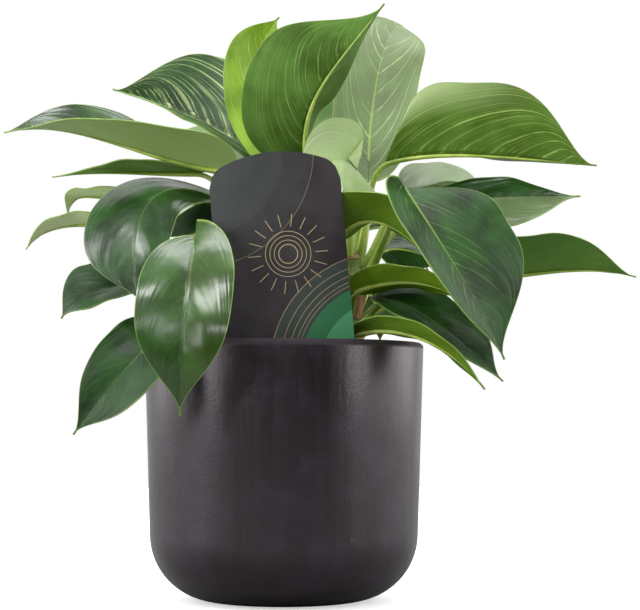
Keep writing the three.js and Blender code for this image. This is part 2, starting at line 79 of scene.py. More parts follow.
# sun, glow and bloom are painted light: sunshine, light through the blade, a sheen at margins.
LEAF_DEFAULTS = {
    "curl": (0, 0), "lobe": (0.13, 0.13), "widest": 0.32, "roundness": 2.4, "fullness": 1.7,
    "turn": 0, "spread": None, "rise": 0.4, "bend": 0.3, "pale": 0.0, "sun": 0.0, "glow": 0.0,
    "bloom": 0.0, "stripes": 0.15, "vein_density": 1.0, "rib_line": 0.12, "satin": 0.0,
    "finish": None,
}
LEAF_LOOKS = ("pale", "sun", "glow", "bloom", "stripes", "vein_density", "rib_line", "satin")


def plan(name, tone, stem, node, rib, face, half, fold, **others):
    """One row of the table of leaves, in millimetres and degrees.

    tone: its family of greens. stem, node: the stem it grows on and how high its stalk's foot is.
    rib: four points that the midrib runs through. face: where the upper side looks, at the base
    and at the tip. half, fold, curl, lobe: half width, tilt, roll and base lobe, each left and
    right. widest: how far along the midrib the blade is widest. roundness, fullness: how full its
    base and its tip are. turn: degrees by which the stalk starts out sideways. spread: how far it
    leans out at its foot. rise, bend: how far it keeps its first and its last direction.
    pale: share of pale green, the colour of young leaves; on some old ones it paints a sheen.
    sun, glow: shares of painted light, sunny green above and light through the blade below.
    bloom: painted sheen, pale margins below near the base. stripes: strength and width of
    the pale stripes. vein_density: how close they lie. rib_line: strength of the midrib's line.
    satin: roughness added above.
    finish: an upper side other than its tone's. A look with two values is for the left and the
    right half.
    """
    row = {"name": name, "tone": tone, "stem": stem, "node": node}
    row.update(rib=rib, face=face, half=half, fold=fold)
    return {**LEAF_DEFAULTS, **row, **others}


LEAVES = [
    plan("crown_tall", "fresh", "left", 170,
        ((10, -20, 219), (13, -28, 242), (26, -30, 264), (50, -22, 296)),
        ((-7, 7, 1), (-6, 7, 2)), (26, 36), (35, 35), curl=(0, 10), widest=0.45, fullness=1.6,
        lobe=(0.05, 0.05), stripes=1.0),
    plan("crown_lime", "lime", "left", 165,
        ((-2, 2, 220), (-14, 8, 247), (-15, 10, 273), (-3, 8, 296)), ((3, -9, 2), (3, -9, 2)),
        (18, 19), (15, 15), fullness=3.2, turn=45, stripes=1.6),
    # Its pale share is a painted sheen.
    plan("crown_back", "dark", "right", 170,
        ((43, 12, 222), (46, 28, 256), (53, 44, 288), (63, 66, 304)), ((1, -9, 3), (1, -9, 4)),
        (21, 22), (8, 8), curl=(0, -5), widest=0.34, roundness=3, fullness=3.5, pale=0.31,
        stripes=1.05, vein_density=0.8, rib_line=0.5, finish="dull"),
    plan("right_high", "fresh", "right", 168,
        ((51, -6, 219), (83, -12, 222), (120, -12, 220), (157, -8, 217)), ((0, 3, 9), (0, 3, 9)),
        (28, 37), (25, 50), curl=(0, 15), widest=0.46, roundness=3.2, fullness=1.5,
        lobe=(0, -0.15), glow=0.15, bloom=0.65, stripes=2.0, vein_density=0.8),
    plan("left_high", "dark", "left", 171,
        ((-14, 12, 223), (-37, 22, 241), (-63, 26, 253), (-90, 22, 261)),
        ((2, -5, 8), (2, -5, 8)), (28, 38), (22, 40), widest=0.38, stripes=2.3, vein_density=0.5,
        finish="dull"),
    plan("left_long", "dark", "left", 168,
        ((-28, -22, 212.5), (-64, -26, 220), (-102, -24, 231), (-139, -18, 232)),
        ((0, 5, 8), (0, -8, 8)), (21, 23), (35, 30), widest=0.45, roundness=4, lobe=(0.05, 0.05),
        pale=(0.31, 0), glow=0.6, stripes=0.6, satin=0.2),
    plan("left_level", "dark", "left", 163,
        ((-44, 24, 218), (-70, 26, 218), (-94, 26, 218), (-121, 22, 215)), ((0, 0, 1), (0, 0, 1)),
        (16, 15), (15, 26), glow=0.2),
    plan("front_left", "dark", "left", 159,
        ((-36, -24, 200), (-62, -41, 197), (-69, -59, 173), (-66, -66, 144)),
        ((0, -3, 9), (-3, -9, 1)), (16, 28), (-14, 5), curl=(-10, -15), widest=0.4, fullness=2.1,
        lobe=(0.38, 0.13), turn=10, spread=1.1),
    plan("front_droop", "dark", "left", 149,
        ((-41, -68, 172), (-42, -90, 149), (-44, -98, 123), (-45, -93, 92)),
        ((0, -6, 8), (0, -1, 0)), (21, 23), (15, 15), curl=(-20, -20), fullness=2,
        lobe=(0.24, 0.08), turn=-15, bend=0.1, sun=(0.08, 0.04), stripes=0.2),
    plan("left_low", "dark", "left", 135,
        ((-56, -46, 134), (-67, -58, 121), (-82, -62, 103), (-98, -57, 83)),
        ((-2, -9, 4), (-2, -9, 2)), (18, 18), (10, 10), fullness=2, bend=0.1, finish="dull"),
    plan("left_small", "dark", "left", 128,
        ((-71, -20, 158), (-83, -28, 154), (-97, -32, 149), (-108, -30, 139)),
        ((-1, -6, 7), (-1, -6, 7)), (13, 20), (10, 15), widest=0.45, finish="dull"),
    plan("left_pale", "fresh", "left", 141,
        ((-86, 2, 187), (-103, 6, 189), (-120, 8, 186), (-132, 8, 176)), ((0, 1, 9), (0, 1, 9)),
        (13, 13), (15, 15), turn=8, pale=1.0),
    plan("left_hook", "fresh", "left", 147,
        ((-84, 30, 207), (-99, 36, 207), (-111, 40, 206), (-115, 40, 194)),
        ((0, 1, 9), (-8, 1, 3)), (13, 13), (15, 15), turn=-6, pale=1.0),
    plan("centre_heart", "fresh", "right", 172,
        ((36, -26, 212.5), (27, -29, 216), (17, -29, 211), (10, -26, 197)),
        ((1, -9, 3), (1, -9, 3)), (19, 23), (15, 5), widest=0.3, roundness=2.6, fullness=1,
        lobe=(0.45, -0.2), spread=0.15, rise=0.5, bend=0.1, pale=0.62, stripes=0.4),
    plan("centre_olive", "fresh", "right", 160,
        ((28, -28, 179), (40, -38, 186), (55, -44, 181), (72, -48, 165)), ((0, 4, 9), (0, 4, 9)),
        (10, 20), (20, 20), lobe=(0.05, 0.05), glow=0.4),
    plan("front_right", "dark", "right", 149,
        ((59, -44, 201), (71, -60, 179), (87, -68, 151), (104, -66, 118)),
        ((3, -8, 5), (3, -8, 4)), (39, 18), (5, 20), fullness=2.2, lobe=(0, 0.1),
        turn=20, bend=0.1, stripes=0.4, rib_line=0.4, finish="dull"),
    # Its pale share is a painted sheen.
    plan("right_grey", "dark", "right", 162,
        ((66, 18, 209), (80, 22, 211), (95, 26, 209), (108, 28, 203)), ((0, -4, 9), (0, -4, 9)),
        (24, 18), (15, 20), turn=-5, spread=0.9, pale=0.33, stripes=0.3, satin=0.5),
    # Its pale share, on the right half, is a painted sheen.
    plan("right_mid", "dark", "right", 155,
        ((74, -10, 197), (98, -14, 199), (122, -16, 200), (148, -12, 201)),
        ((0, -7, 7), (0, -6, 8)), (15, 24), (10, 0), spread=0.5, pale=(0, 0.22),
        stripes=0.2),
    plan("right_low", "dark", "right", 137,
        ((92, 6, 160), (122, 8, 163.5), (151, 8, 165.5), (179, 8, 162)), ((0, 0, 1), (0, 0, 1)),
        (18, 22), (25, 62), lobe=(0.05, 0), glow=0.1),
    plan("right_shaded", "dark", "right", 132,
        ((52, -18, 149), (69, -32, 140), (87, -44, 125), (105, -50, 108)),
        ((0, -4, 8), (2, -4, 8)), (18, 15), (20, 10), fullness=2, finish="dull"),
    plan("right_foot", "fresh", "right", 126,
        ((38, -34, 132), (57, -50, 131.5), (77, -60, 122), (95, -64, 104)),
        ((0, 3, 9), (2, 3, 7)), (12, 10), (10, 20), glow=0.5),
    plan("right_olive", "fresh", "right", 142,
        ((37, -20, 154), (54, -28, 157), (71, -34, 155), (87, -36, 147)), ((0, 4, 9), (0, 4, 9)),
        (12, 12), (10, 20), glow=0.95),
    plan("right_gloss", "dark", "right", 144,
        ((51, 12, 176), (60, 15, 177), (70, 16, 174), (79, 16, 167)), ((0, -3, 9), (3, -3, 9)),
        (14, 18), (10, -42)),
    plan("right_under", "dark", "right", 129,
        ((48, 6, 141), (58, 12, 143), (70, 18, 141), (84, 20, 134)), ((0, -3, 9), (3, -3, 9)),
        (14, 14), (10, 10), finish="dull"),
    plan("left_under", "dark", "left", 154,
        ((-34, -7, 200), (-45, -8, 197), (-56, -9, 189), (-66, -9, 178)), ((0, 0, 9), (0, 0, 9)),
        (21, 12), (-45, 0), turn=-25, finish="dull"),
    plan("back_high", "fresh", "back", 170,
        ((10, 42, 226), (9, 56, 246), (10, 70, 262), (14, 86, 272)), ((0, -6, 8), (0, -3, 8)),
        (22, 22), (20, 20)),
    plan("back_centre", "dark", "back", 161,
        ((2, 58, 205), (0, 84, 208), (-2, 108, 196), (-4, 126, 172)), ((0, -2, 9), (0, 5, 6)),
        (28, 28), (15, 15), spread=0.9),
    plan("back_left", "fresh", "back", 156,
        ((-16, 46, 220), (-30, 56, 238), (-48, 66, 245), (-70, 76, 243)),
        ((0, -5, 8), (0, -3, 8)), (20, 20), (10, 10), turn=15),
    plan("back_right", "dark", "back", 160,
        ((38, 50, 190), (54, 66, 194), (68, 82, 188), (78, 94, 172)), ((0, -1, 9), (3, 4, 7)),
        (22, 22), (15, 15)),
    plan("back_lower", "dark", "back", 150,
        ((-10, 66, 168), (-16, 88, 166), (-20, 106, 152), (-22, 116, 130)),
        ((0, 1, 9), (0, 7, 4)), (24, 24), (12, 12)),
    plan("back_side", "fresh", "back", 145,
        ((34, 62, 160), (44, 82, 160), (50, 100, 150), (52, 112, 132)), ((0, 1, 9), (1, 7, 4)),
        (20, 20), (12, 12)),
    plan("back_foot", "dark", "back", 137,
        ((10, 70, 140), (10, 88, 136), (8, 100, 122), (6, 106, 102)), ((0, 3, 9), (0, 9, 2)),
        (20, 20), (10, 10)),
    plan("left_rear", "dark", "back", 144,
        ((-40, 40, 172), (-56, 48, 174), (-72, 56, 170), (-86, 60, 160)),
        ((0, -1, 9), (-2, 0, 9)), (20, 20), (15, 15)),
]


def paint(red, green, blue):
    """A colour, 0 to 255, as the linear colour that a shader takes."""

    def linear(level):
        share = level / 255
        return share / 12.92 if share <= 0.04045 else ((share + 0.055) / 1.055) ** 2.4

    return (linear(red), linear(green), linear(blue), 1.0)


def tint(name, about, *levels):
    """A colour that the user can change. Its default is given 0 to 255."""
    default = paint(*levels)
    return FloatVectorProperty(
        name=name, description=about, default=default, min=0, max=1, size=4, subtype="COLOR"
    )


def length(name, about, default):
    return FloatProperty(
        name=name, description=about, default=default, min=0, unit="LENGTH", subtype="DISTANCE"
    )


def whole(name, about, default, low=0):
    return IntProperty(name=name, description=about, default=default, min=low)


def amount(name, about, default, low=0):
    return FloatProperty(name=name, description=about, default=default, min=low)


# ---- Picking and settling pieces ----


def deselect():
    bpy.ops.object.select_all(action="DESELECT")


def pick(*pieces):
    """Selects the pieces alone. The first one is active."""
    deselect()
    for piece in pieces:
        piece.select_set(True)
    bpy.context.view_layer.objects.active = pieces[0]


def mode(name):
    bpy.ops.object.mode_set(mode=name)


def edit_all():
    mode("EDIT")
    bpy.ops.mesh.select_all(action="SELECT")


def settle(piece, name):
    """Names a piece and moves its place into its mesh, so that its object sits at the origin."""
    pick(piece)
    bpy.ops.object.transform_apply(location=True, rotation=True, scale=True)
    piece.name = piece.data.name = name
    return piece


def join(pieces, name):
    pick(*pieces)
    bpy.ops.object.join()
    return settle(bpy.context.object, name)


def select_where(piece, test):
    """Goes into edit mode with the vertices selected whose place passes the test."""
    mode("OBJECT")
    mesh = piece.data
    for part in (*mesh.polygons, *mesh.edges):
        part.select = False
    for vertex in mesh.vertices:
        vertex.select = test(vertex.co)
    mode("EDIT")


def outward(piece):
    """Turns every face of a closed piece outwards."""
    pick(piece)
    edit_all()
    bpy.ops.mesh.normals_make_consistent(inside=False)
    mode("OBJECT")


def smooth(piece, angle):
    pick(piece)
    bpy.ops.object.shade_smooth_by_angle(angle=math.radians(angle))


def dress(piece, *finishes):
    """Gives a piece its materials, in place of any that it brings along."""
    piece.data.materials.clear()
    for finish in finishes:
        piece.data.materials.append(finish)


def thicken(piece, thickness, offset, far_side=0, rim=0):
    """Gives a sheet its thickness. far_side and rim count on from its material to theirs."""
    bpy.ops.object.modifier_add(type="SOLIDIFY")
    wall = piece.modifiers[-1]
    wall.thickness, wall.offset = thickness, offset
    wall.material_offset, wall.material_offset_rim = far_side, rim
    bpy.ops.object.modifier_apply(modifier=wall.name)


def finished(piece, node=None):
    """Hangs a piece on the root body and hides the solid of model.glb that it stands for, if any.
    """
    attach(piece, "root")
    if node:
        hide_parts(node)


def arc(centre_radius, centre_height, radius, start, end, steps):
    """Points of a turned profile along an arc, as (radius, height) in millimetres."""
    points = []
    for i in range(steps + 1):
        angle = math.radians(start + (end - start) * i / steps)
        out, up = radius * math.cos(angle), radius * math.sin(angle)
        points.append((centre_radius + out, centre_height + up))
    return points


def bezier(points, t):
    """The place at t, from 0 to 1, on a curve that four points steer."""
    a, b, c, d = points
    u = 1 - t
    return u**3 * a + 3 * u * u * t * b + 3 * u * t * t * c + t**3 * d


def extrude(way):
    bpy.ops.mesh.extrude_region_move(TRANSFORM_OT_translate={"value": way})


def raise_ring(rings, radius, height):
    """In edit mode, extrudes the selected ring of edges from point to point of a profile."""
    for next_radius, next_height in rings:
        extrude((0, 0, (next_height - height) * MM))
        factor = next_radius / radius
        bpy.ops.transform.resize(value=(factor, factor, 1), center_override=(0, 0, 0))
        radius, height = next_radius, next_height


def turned(name, profile, sides):
    """A solid of revolution about Z: a ring extruded along the profile, closed at both ends."""
    radius, height = profile[0]
    foot = (0, 0, height * MM)
    bpy.ops.mesh.primitive_circle_add(vertices=sides, radius=radius * MM, location=foot)
    piece = settle(bpy.context.object, name)
    edit_all()
    raise_ring(profile[1:], radius, height)
    bpy.ops.mesh.edge_face_add()
    near = 1e-6
    first = Vector((radius, height)) * MM
    select_where(piece, lambda p: (Vector((math.hypot(p.x, p.y), p.z)) - first).length < near)
    bpy.ops.mesh.edge_face_add()
    mode("OBJECT")
    outward(piece)
    return piece


# ---- Finishes ----


class Nodes:
    """Builds the node tree of a material or a world from short calls."""

    def __init__(self, owner):
        owner.use_nodes = True
        self.tree = owner.node_tree
        self.tree.nodes.clear()

    def add(self, kind, **settings):
        node = self.tree.nodes.new(kind)
        for key, value in settings.items():
            setattr(node, key, value)
        return node

    def feed(self, socket, value):
        if isinstance(value, bpy.types.NodeSocket):
            self.tree.links.new(value, socket)
        else:
            socket.default_value = value

    def fed(self, node, *values):
        """Feeds the node's sockets in order and gives its first output."""
        for socket, value in zip(node.inputs, values):
            self.feed(socket, value)
        return node.outputs[0]

    def math(self, operation, *values):
        return self.fed(self.add("ShaderNodeMath", operation=operation), *values)

    def times(self, first, *others):
        for other in others:
            first = self.math("MULTIPLY", first, other)
        return first

    def plus(self, first, second):
        return self.math("ADD", first, second)

    def minus(self, first, second):
        return self.math("SUBTRACT", first, second)

    def over(self, first, second):
        return self.math("DIVIDE", first, second)

    def most(self, first, second):
        return self.math("MAXIMUM", first, second)

    def least(self, first, second):
        return self.math("MINIMUM", first, second)

    def band(self, value, low, high, start=0.0, end=1.0, rise="SMOOTHSTEP"):
        """Goes from start to end while the value goes from low to high."""
        node = self.add("ShaderNodeMapRange", interpolation_type=rise)
        return self.fed(node, value, low, high, start, end)

    def split(self, vector):
        node = self.add("ShaderNodeSeparateXYZ")
        self.feed(node.inputs[0], vector)
        return node.outputs


class Finish(Nodes):
    """A material and its shader."""

    def __init__(self, name):
        self.material = bpy.data.materials.new(name)
        super().__init__(self.material)
        self.shader = self.add("ShaderNodeBsdfPrincipled")
        output = self.add("ShaderNodeOutputMaterial")
        self.feed(output.inputs["Surface"], self.shader.outputs["BSDF"])

    def mix(self, factor, first, second):
        node = self.add("ShaderNodeMix", data_type="RGBA")
        self.feed(node.inputs[0], factor)
        self.feed(node.inputs[6], first)
        self.feed(node.inputs[7], second)
        return node.outputs[2]

    def place(self, stretch=(1, 1, 1)):
        """The place on the object, stretched."""
        mapping = self.add("ShaderNodeMapping")
        mapping.inputs["Scale"].default_value = stretch
        self.feed(mapping.inputs["Vector"], self.add("ShaderNodeTexCoord").outputs["Object"])
        return mapping.outputs["Vector"]

    def chart(self, name):
        """The two coordinates of a named map of the piece."""
        return self.split(self.add("ShaderNodeUVMap", uv_map=name).outputs["UV"])[:2]

    def height(self):
        return self.split(self.place())["Z"]

    def noise(self, vector, scale, detail=3.0, roughness=0.55):
        node = self.add("ShaderNodeTexNoise")
        self.feed(node.inputs["Vector"], vector)
        node.inputs["Scale"].default_value = scale
        node.inputs["Detail"].default_value = detail
        node.inputs["Roughness"].default_value = roughness
        return node.outputs["Fac"]

    def cloud(self, scale, *fineness):
        """Noise at the place on the object. fineness: its detail and roughness."""
        return self.noise(self.place(), scale, *fineness)

    def crack(self, value, scale):
        """Distance to the nearest of many uneven marks along one coordinate."""
        marks = {"voronoi_dimensions": "1D", "feature": "DISTANCE_TO_EDGE"}
        node = self.add("ShaderNodeTexVoronoi", **marks)
        self.feed(node.inputs["W"], value)
        node.inputs["Scale"].default_value = scale
        return node.outputs["Distance"]

    def grains(self, vector, scale):
        node = self.add("ShaderNodeTexVoronoi")
        self.feed(node.inputs["Vector"], vector)
        node.inputs["Scale"].default_value = scale
        return node.outputs["Distance"]

    def relief(self, height, distance, under=None):
        node = self.add("ShaderNodeBump")
        self.feed(node.inputs["Height"], height)
        node.inputs["Distance"].default_value = distance
        if under is not None:
            self.feed(node.inputs["Normal"], under)
        return node.outputs["Normal"]

    def attribute(self, name):
        return self.add("ShaderNodeAttribute", attribute_name=name).outputs["Fac"]

    def finish(self, colour, roughness, normal=None, **levels):
        self.feed(self.shader.inputs["Base Color"], colour)
        self.feed(self.shader.inputs["Roughness"], roughness)
        if normal is not None:
            self.feed(self.shader.inputs["Normal"], normal)
        for name, level in levels.items():
            self.shader.inputs[name.replace("_", " ")].default_value = level
        return self.material


def satin_glaze(s):
    """Charcoal glaze: a warm black with cooler clouds, faint upright streaks and a fine tooth."""
    f = Finish("charcoal_glaze")
    cloud = f.cloud(32, 6, 0.62)
    mottle = f.noise(f.place((1, 1, 0.7)), 150, 4, 0.7)
    streak = f.noise(f.place((160, 160, 5)), 1.0, 4)
    fine = f.cloud(900, 2)
    colour = f.mix(f.band(streak, 0.3, 0.75), s.glaze_deep, s.glaze_light)
    patches = f.times(f.band(cloud, 0.46, 0.66), f.band(mottle, 0.35, 0.65, 0.35, 0.9))
    colour = f.mix(f.times(patches, 0.7), colour, s.glaze_cloud)
    speck = f.band(f.grains(f.place(), 170), 0.13, 0.06)
    speck = f.times(speck, f.band(mottle, 0.55, 0.7, 0, 0.6))
    colour = f.mix(speck, colour, s.glaze_speck)
    worn = f.plus(f.times(cloud, 0.6), f.times(streak, 0.4))
    rough = f.band(f.plus(worn, f.times(fine, 0.2)), 0.4, 0.8, 0.27, 0.38)
    rough = f.most(rough, f.band(f.height(), 0.1235, 0.1262, 0, 0.8))  # the lip is dull
    normal = f.relief(fine, 0.00005, f.relief(streak, 0.00012, f.relief(mottle, 0.00012)))
    warm = (1.0, 0.9, 0.95, 1.0)
    return f.finish(colour, rough, normal, Specular_IOR_Level=0.6, Specular_Tint=warm)


def bare_clay():
    f = Finish("bare_foot_clay")
    grain = f.cloud(700, 3)
    colour = f.mix(grain, paint(92, 82, 78), paint(128, 116, 108))
    return f.finish(colour, 0.85, f.relief(grain, 0.0001))


def black_plastic(s):
    """Thin moulded plastic: black, with fine drawn lines and dust."""
    f = Finish("nursery_black")
    lines = f.noise(f.place((1, 1, 30)), 60, 3)
    dust = f.band(f.cloud(130, 4, 0.7), 0.55, 0.75)
    colour = f.mix(f.times(dust, 0.35), s.plastic, paint(96, 86, 76))
    rough = f.band(lines, 0.3, 0.7, 0.42, 0.58)
    return f.finish(colour, rough, f.relief(lines, 0.00015))


def moist_peat(s):
    f = Finish("moist_peat")
    coarse = f.cloud(160, 6, 0.65)
    fibre = f.noise(f.place((3, 1, 1)), 420, 4, 0.7)
    colour = f.mix(f.band(coarse, 0.35, 0.7), s.peat_deep, s.peat_light)
    colour = f.mix(f.times(f.band(fibre, 0.6, 0.75), 0.5), colour, paint(128, 96, 62))
    normal = f.relief(coarse, 0.0018, f.relief(fibre, 0.0005))
    return f.finish(colour, 0.92, normal)


def stem_bark(s):
    """Green stem with pale corky rings where old leaves came away."""
    f = Finish("stem_bark")
    grain = f.noise(f.place((1, 1, 0.2)), 420, 4)
    patch = f.cloud(90, 3)
    ring = f.crack(f.plus(f.height(), f.times(patch, 0.002)), 110)
    colour = f.mix(f.band(patch, 0.4, 0.65), s.bark_green, s.bark_brown)
    colour = f.mix(f.band(ring, 0.14, 0.03), colour, s.scar)
    normal = f.relief(f.band(ring, 0.16, 0.0), 0.0006, f.relief(grain, 0.0003))
    return f.finish(colour, 0.6, normal)


def dry_sheath():
    f = Finish("dry_sheath")
    fibre = f.noise(f.place((6, 6, 0.8)), 160, 4)
    colour = f.mix(f.band(fibre, 0.3, 0.7), paint(92, 58, 34), paint(176, 132, 86))
    return f.finish(colour, 0.75, f.relief(fibre, 0.0004))


def leaf_stalk(s):
    """Smooth pale-green stalk, a little streaked along its length."""
    f = Finish("leaf_stalk")
    patch = f.cloud(55, 3)
    streak = f.cloud(700, 2)
    colour = f.mix(f.band(patch, 0.35, 0.65), s.stalk_deep, s.stalk_light)
    colour = f.mix(f.band(streak, 0.5, 0.8, 0, 0.25), colour, s.stripe)
    return f.finish(colour, 0.38, f.relief(streak, 0.0001))


def veins_of(f, count):
    """Along a blade's side veins: a mask of the pale lines and the soft swell between them."""
    foot, across = f.chart("veins")

    def along(pace, sideways, seed, scale=1.0, detail=1):
        """Noise that changes at a pace from vein to vein, and sideways towards the edge."""
        way = f.add("ShaderNodeCombineXYZ")
        f.fed(way, f.times(foot, pace), f.times(across, sideways), seed)
        return f.noise(way.outputs[0], scale, detail)

    wander = along(4, 1.5, 0.0, 1.6, 2)
    foot = f.plus(foot, f.times(f.minus(wander, 0.5), 0.06))
    foot = f.times(foot, f.attribute("vein_density"))
    bold = f.crack(foot, count)
    thin = f.crack(f.plus(foot, 3.7), count * 3.1)
    strength = along(count * 0.8, 1.0, 4.0, detail=2)
    fade = along(3.0, 3.0, 8.0, 1.5, 3)
    chosen = along(count * 0.6, 0.7, 6.0)
    swell = along(count * 0.55, 1.2, 2.0)
    reach = f.band(f.attribute("stripes"), 0.0, 2.4, 0.05, 0.11)
    bold_line = f.times(
        f.band(bold, reach, 0.012),
        f.band(strength, 0.3, 0.6, 0.12, 1.0),
        f.band(fade, 0.3, 0.6, 0.3, 1.0),
        f.band(chosen, 0.38, 0.6, 0.2, 1.0),
    )
    thin_line = f.times(f.band(thin, 0.14, 0.02), f.band(fade, 0.4, 0.7, 0.05, 0.4))
    return f.most(bold_line, thin_line), swell


def edge_of(f):
    """The thin pale margin of a blade."""
    return f.times(f.band(f.chart("edges")[1], 0.05, 0.015), 0.5)


def leaf_upper(name, s, deep, light, stripe_strength, roughness, shine=0.5):
    """Upper side: waxy green with wandering pale stripes, a pale midrib and a thin pale edge."""
    f = Finish(name)
    lines, swell = veins_of(f, s.stripe_count)
    stripes = f.attribute("stripes")
    from_rib = f.chart("edges")[0]
    along = f.chart("UVMap")[1]
    cloud = f.cloud(55, 4)
    colour = f.mix(f.band(cloud, 0.3, 0.7), deep, light)
    # Painted sunlight: sun turns the green towards a sunny yellow-green.
    colour = f.mix(f.attribute("sun"), colour, s.painted_sunlight)
    # Pale green: young leaves' own colour, and a painted sheen on some old leaves.
    colour = f.mix(f.times(f.attribute("pale"), 0.55), colour, s.young)
    near = f.band(f.minus(from_rib, f.times(stripes, 2.5)), 1.2, 0.0, 0.25, 1.0)
    drawn = f.times(f.times(lines, near), f.times(stripes, stripe_strength))
    colour = f.mix(f.least(drawn, 0.9), colour, s.stripe)
    rib_width = f.band(along, 0.0, 0.9, 0.11, 0.025)
    rib = f.band(f.over(from_rib, rib_width), 1.0, 0.2)
    rib_strength = f.times(f.attribute("rib_line"), f.band(along, 0.05, 0.85, 0.95, 0.3))
    colour = f.mix(f.times(rib, rib_strength), colour, s.midrib)
    colour = f.mix(edge_of(f), colour, s.edge)
    wax = f.cloud(1400, 2)
    rough = f.band(f.plus(cloud, f.times(wax, 0.3)), 0.4, 0.9, roughness, roughness + 0.08)
    rough = f.plus(rough, f.times(f.attribute("satin"), 0.22))
    dimple = f.cloud(45, 2)
    normal = f.relief(swell, s.quilting, f.relief(dimple, s.quilting * 2))
    return f.finish(colour, rough, normal, Specular_IOR_Level=shine)


def leaf_under(name, s, deep, light, stripe_strength):
    """Underside: dull and matt, with fine raised veins."""
    f = Finish(name)
    lines, swell = veins_of(f, s.stripe_count)
    stripes = f.attribute("stripes")
    across, along = f.chart("UVMap")
    cloud = f.cloud(40, 3)
    colour = f.mix(f.band(cloud, 0.3, 0.7), deep, light)
    # Painted light through the blade: glow lightens the underside to a sunny green.
    colour = f.mix(f.attribute("glow"), colour, s.painted_sunlight)
    # Pale green: young leaves' own colour, and on some old leaves a painted sheen.
    colour = f.mix(f.attribute("pale"), colour, s.young)
    # Painted sheen: bloom makes the underside paler towards its margins near the base.
    margin = f.band(f.math("ABSOLUTE", f.minus(across, 0.5)), 0.24, 0.5)
    bloom = f.times(margin, f.band(along, 0.75, 0.1), f.attribute("bloom"))
    colour = f.mix(bloom, colour, s.young)
    drawn = f.times(lines, f.times(f.plus(stripes, 0.3), stripe_strength))
    colour = f.mix(f.least(drawn, 0.8), colour, s.under_vein)
    colour = f.mix(edge_of(f), colour, s.edge)
    tooth = f.cloud(1100, 2)
    rough = f.band(tooth, 0.3, 0.7, 0.46, 0.56)
    normal = f.relief(swell, s.quilting, f.relief(tooth, 0.00001))
    return f.finish(colour, rough, normal, Specular_IOR_Level=0.15)


def leaf_edge(s):
    f = Finish("leaf_edge")
    patch = f.cloud(160, 3)
    colour = f.mix(patch, s.fresh_light, s.edge)
    return f.finish(colour, 0.5, Specular_IOR_Level=0.3)


def printed_card(s):
    """Front of the tag: soft black with green quarter discs, fine gold arcs and a ring of rays.

    The print's places and radii are in centimetres across the card and up from TAG_LIFT.
    """
    f = Finish("printed_card")
    x, z = f.chart("print")
    speckle = f.cloud(1300, 2)
    cloud = f.cloud(60, 4)
    colour = f.mix(f.band(cloud, 0.3, 0.7), s.card_deep, s.card_light)

    def reach(centre_x, centre_z):
        dx, dz = f.minus(x, centre_x), f.minus(z, centre_z)
        far = f.math("SQRT", f.plus(f.times(dx, dx), f.times(dz, dz)))
        return far, f.math("ARCTAN2", dz, dx)

    def ring(distance, radius, width):
        return f.band(f.math("ABSOLUTE", f.minus(distance, radius)), width, width * 0.4)

    def layer(onto, shade, mask, strength):
        return f.mix(f.times(mask, strength), onto, shade)

    high = reach(-3.6, 15.2)[0]
    for radius, strength in ((5.6, 0.1), (4.2, 0.14)):
        colour = layer(colour, s.print_moss, f.band(high, radius, radius - 0.04), strength)
    low = reach(4.4, 4.2)[0]
    colour = layer(colour, s.print_moss, f.band(low, 5.4, 5.36), 0.4)
    colour = layer(colour, s.print_green, f.band(low, 3.94, 3.9), 0.9)
    colour = layer(colour, s.print_mint, f.band(low, 3.04, 3.0), 0.9)

    sun, angle = reach(0.35, 9.9)
    lines = ring(sun, 0.45, 0.028)
    for radius in (0.66, 0.87, 1.08):
        lines = f.most(lines, ring(sun, radius, 0.02))
    spoke = f.math("ABSOLUTE", f.math("SINE", f.times(angle, 9.0)))
    spoke_width = f.over(0.09, f.most(sun, 0.2))
    reaching = f.times(f.band(sun, 1.28, 1.32), f.band(sun, 1.94, 1.9))
    lines = f.most(lines, f.times(f.band(f.over(spoke, spoke_width), 2.4, 0.8), reaching))
    for radius in (4.1, 4.28, 4.55, 4.9, 5.36):
        lines = f.most(lines, f.times(ring(low, radius, 0.022), 0.7))
    colour = layer(colour, s.print_gold, lines, 0.75)
    colour = layer(colour, s.print_gold, ring(high, 5.6, 0.02), 0.3)
    rough = f.band(speckle, 0.3, 0.7, 0.42, 0.52)
    return f.finish(colour, rough, f.relief(speckle, 0.00002), Specular_IOR_Level=0.35)


def plain_card(s):
    f = Finish("plain_card")
    speckle = f.cloud(1100, 3)
    cloud = f.cloud(50, 4)
    colour = f.mix(f.band(cloud, 0.3, 0.7), s.card_deep, s.card_light)
    return f.finish(colour, f.band(speckle, 0.3, 0.7, 0.5, 0.6), f.relief(speckle, 0.00003))


# ---- Sizes and colours that a user would change ----


class CoverPotSettings(bpy.types.PropertyGroup):
    rim_radius: length("Rim radius", "Radius of the cover pot at its rim", 0.070)
    foot_radius: length("Foot radius", "Radius where the wall meets the rounded foot", 0.067)
    height: length("Height", "Height of the cover pot", 0.128)
    wall: length("Wall", "Thickness of the ceramic wall", 0.005)
    corner: length("Foot rounding", "Radius of the rounded foot", 0.033)
    sides: whole("Sides", "Faces round the pot", 144, 24)
    glaze_deep: tint("Glaze", "Warm black of the glaze", 12, 5, 9)
    glaze_light: tint("Glaze streaks", "Lighter upright streaks", 24, 15, 21)
    glaze_cloud: tint("Glaze clouds", "Cooler clouds in the glaze", 36, 32, 47)
    glaze_speck: tint("Glaze specks", "Fine specks in the glaze", 78, 72, 78)


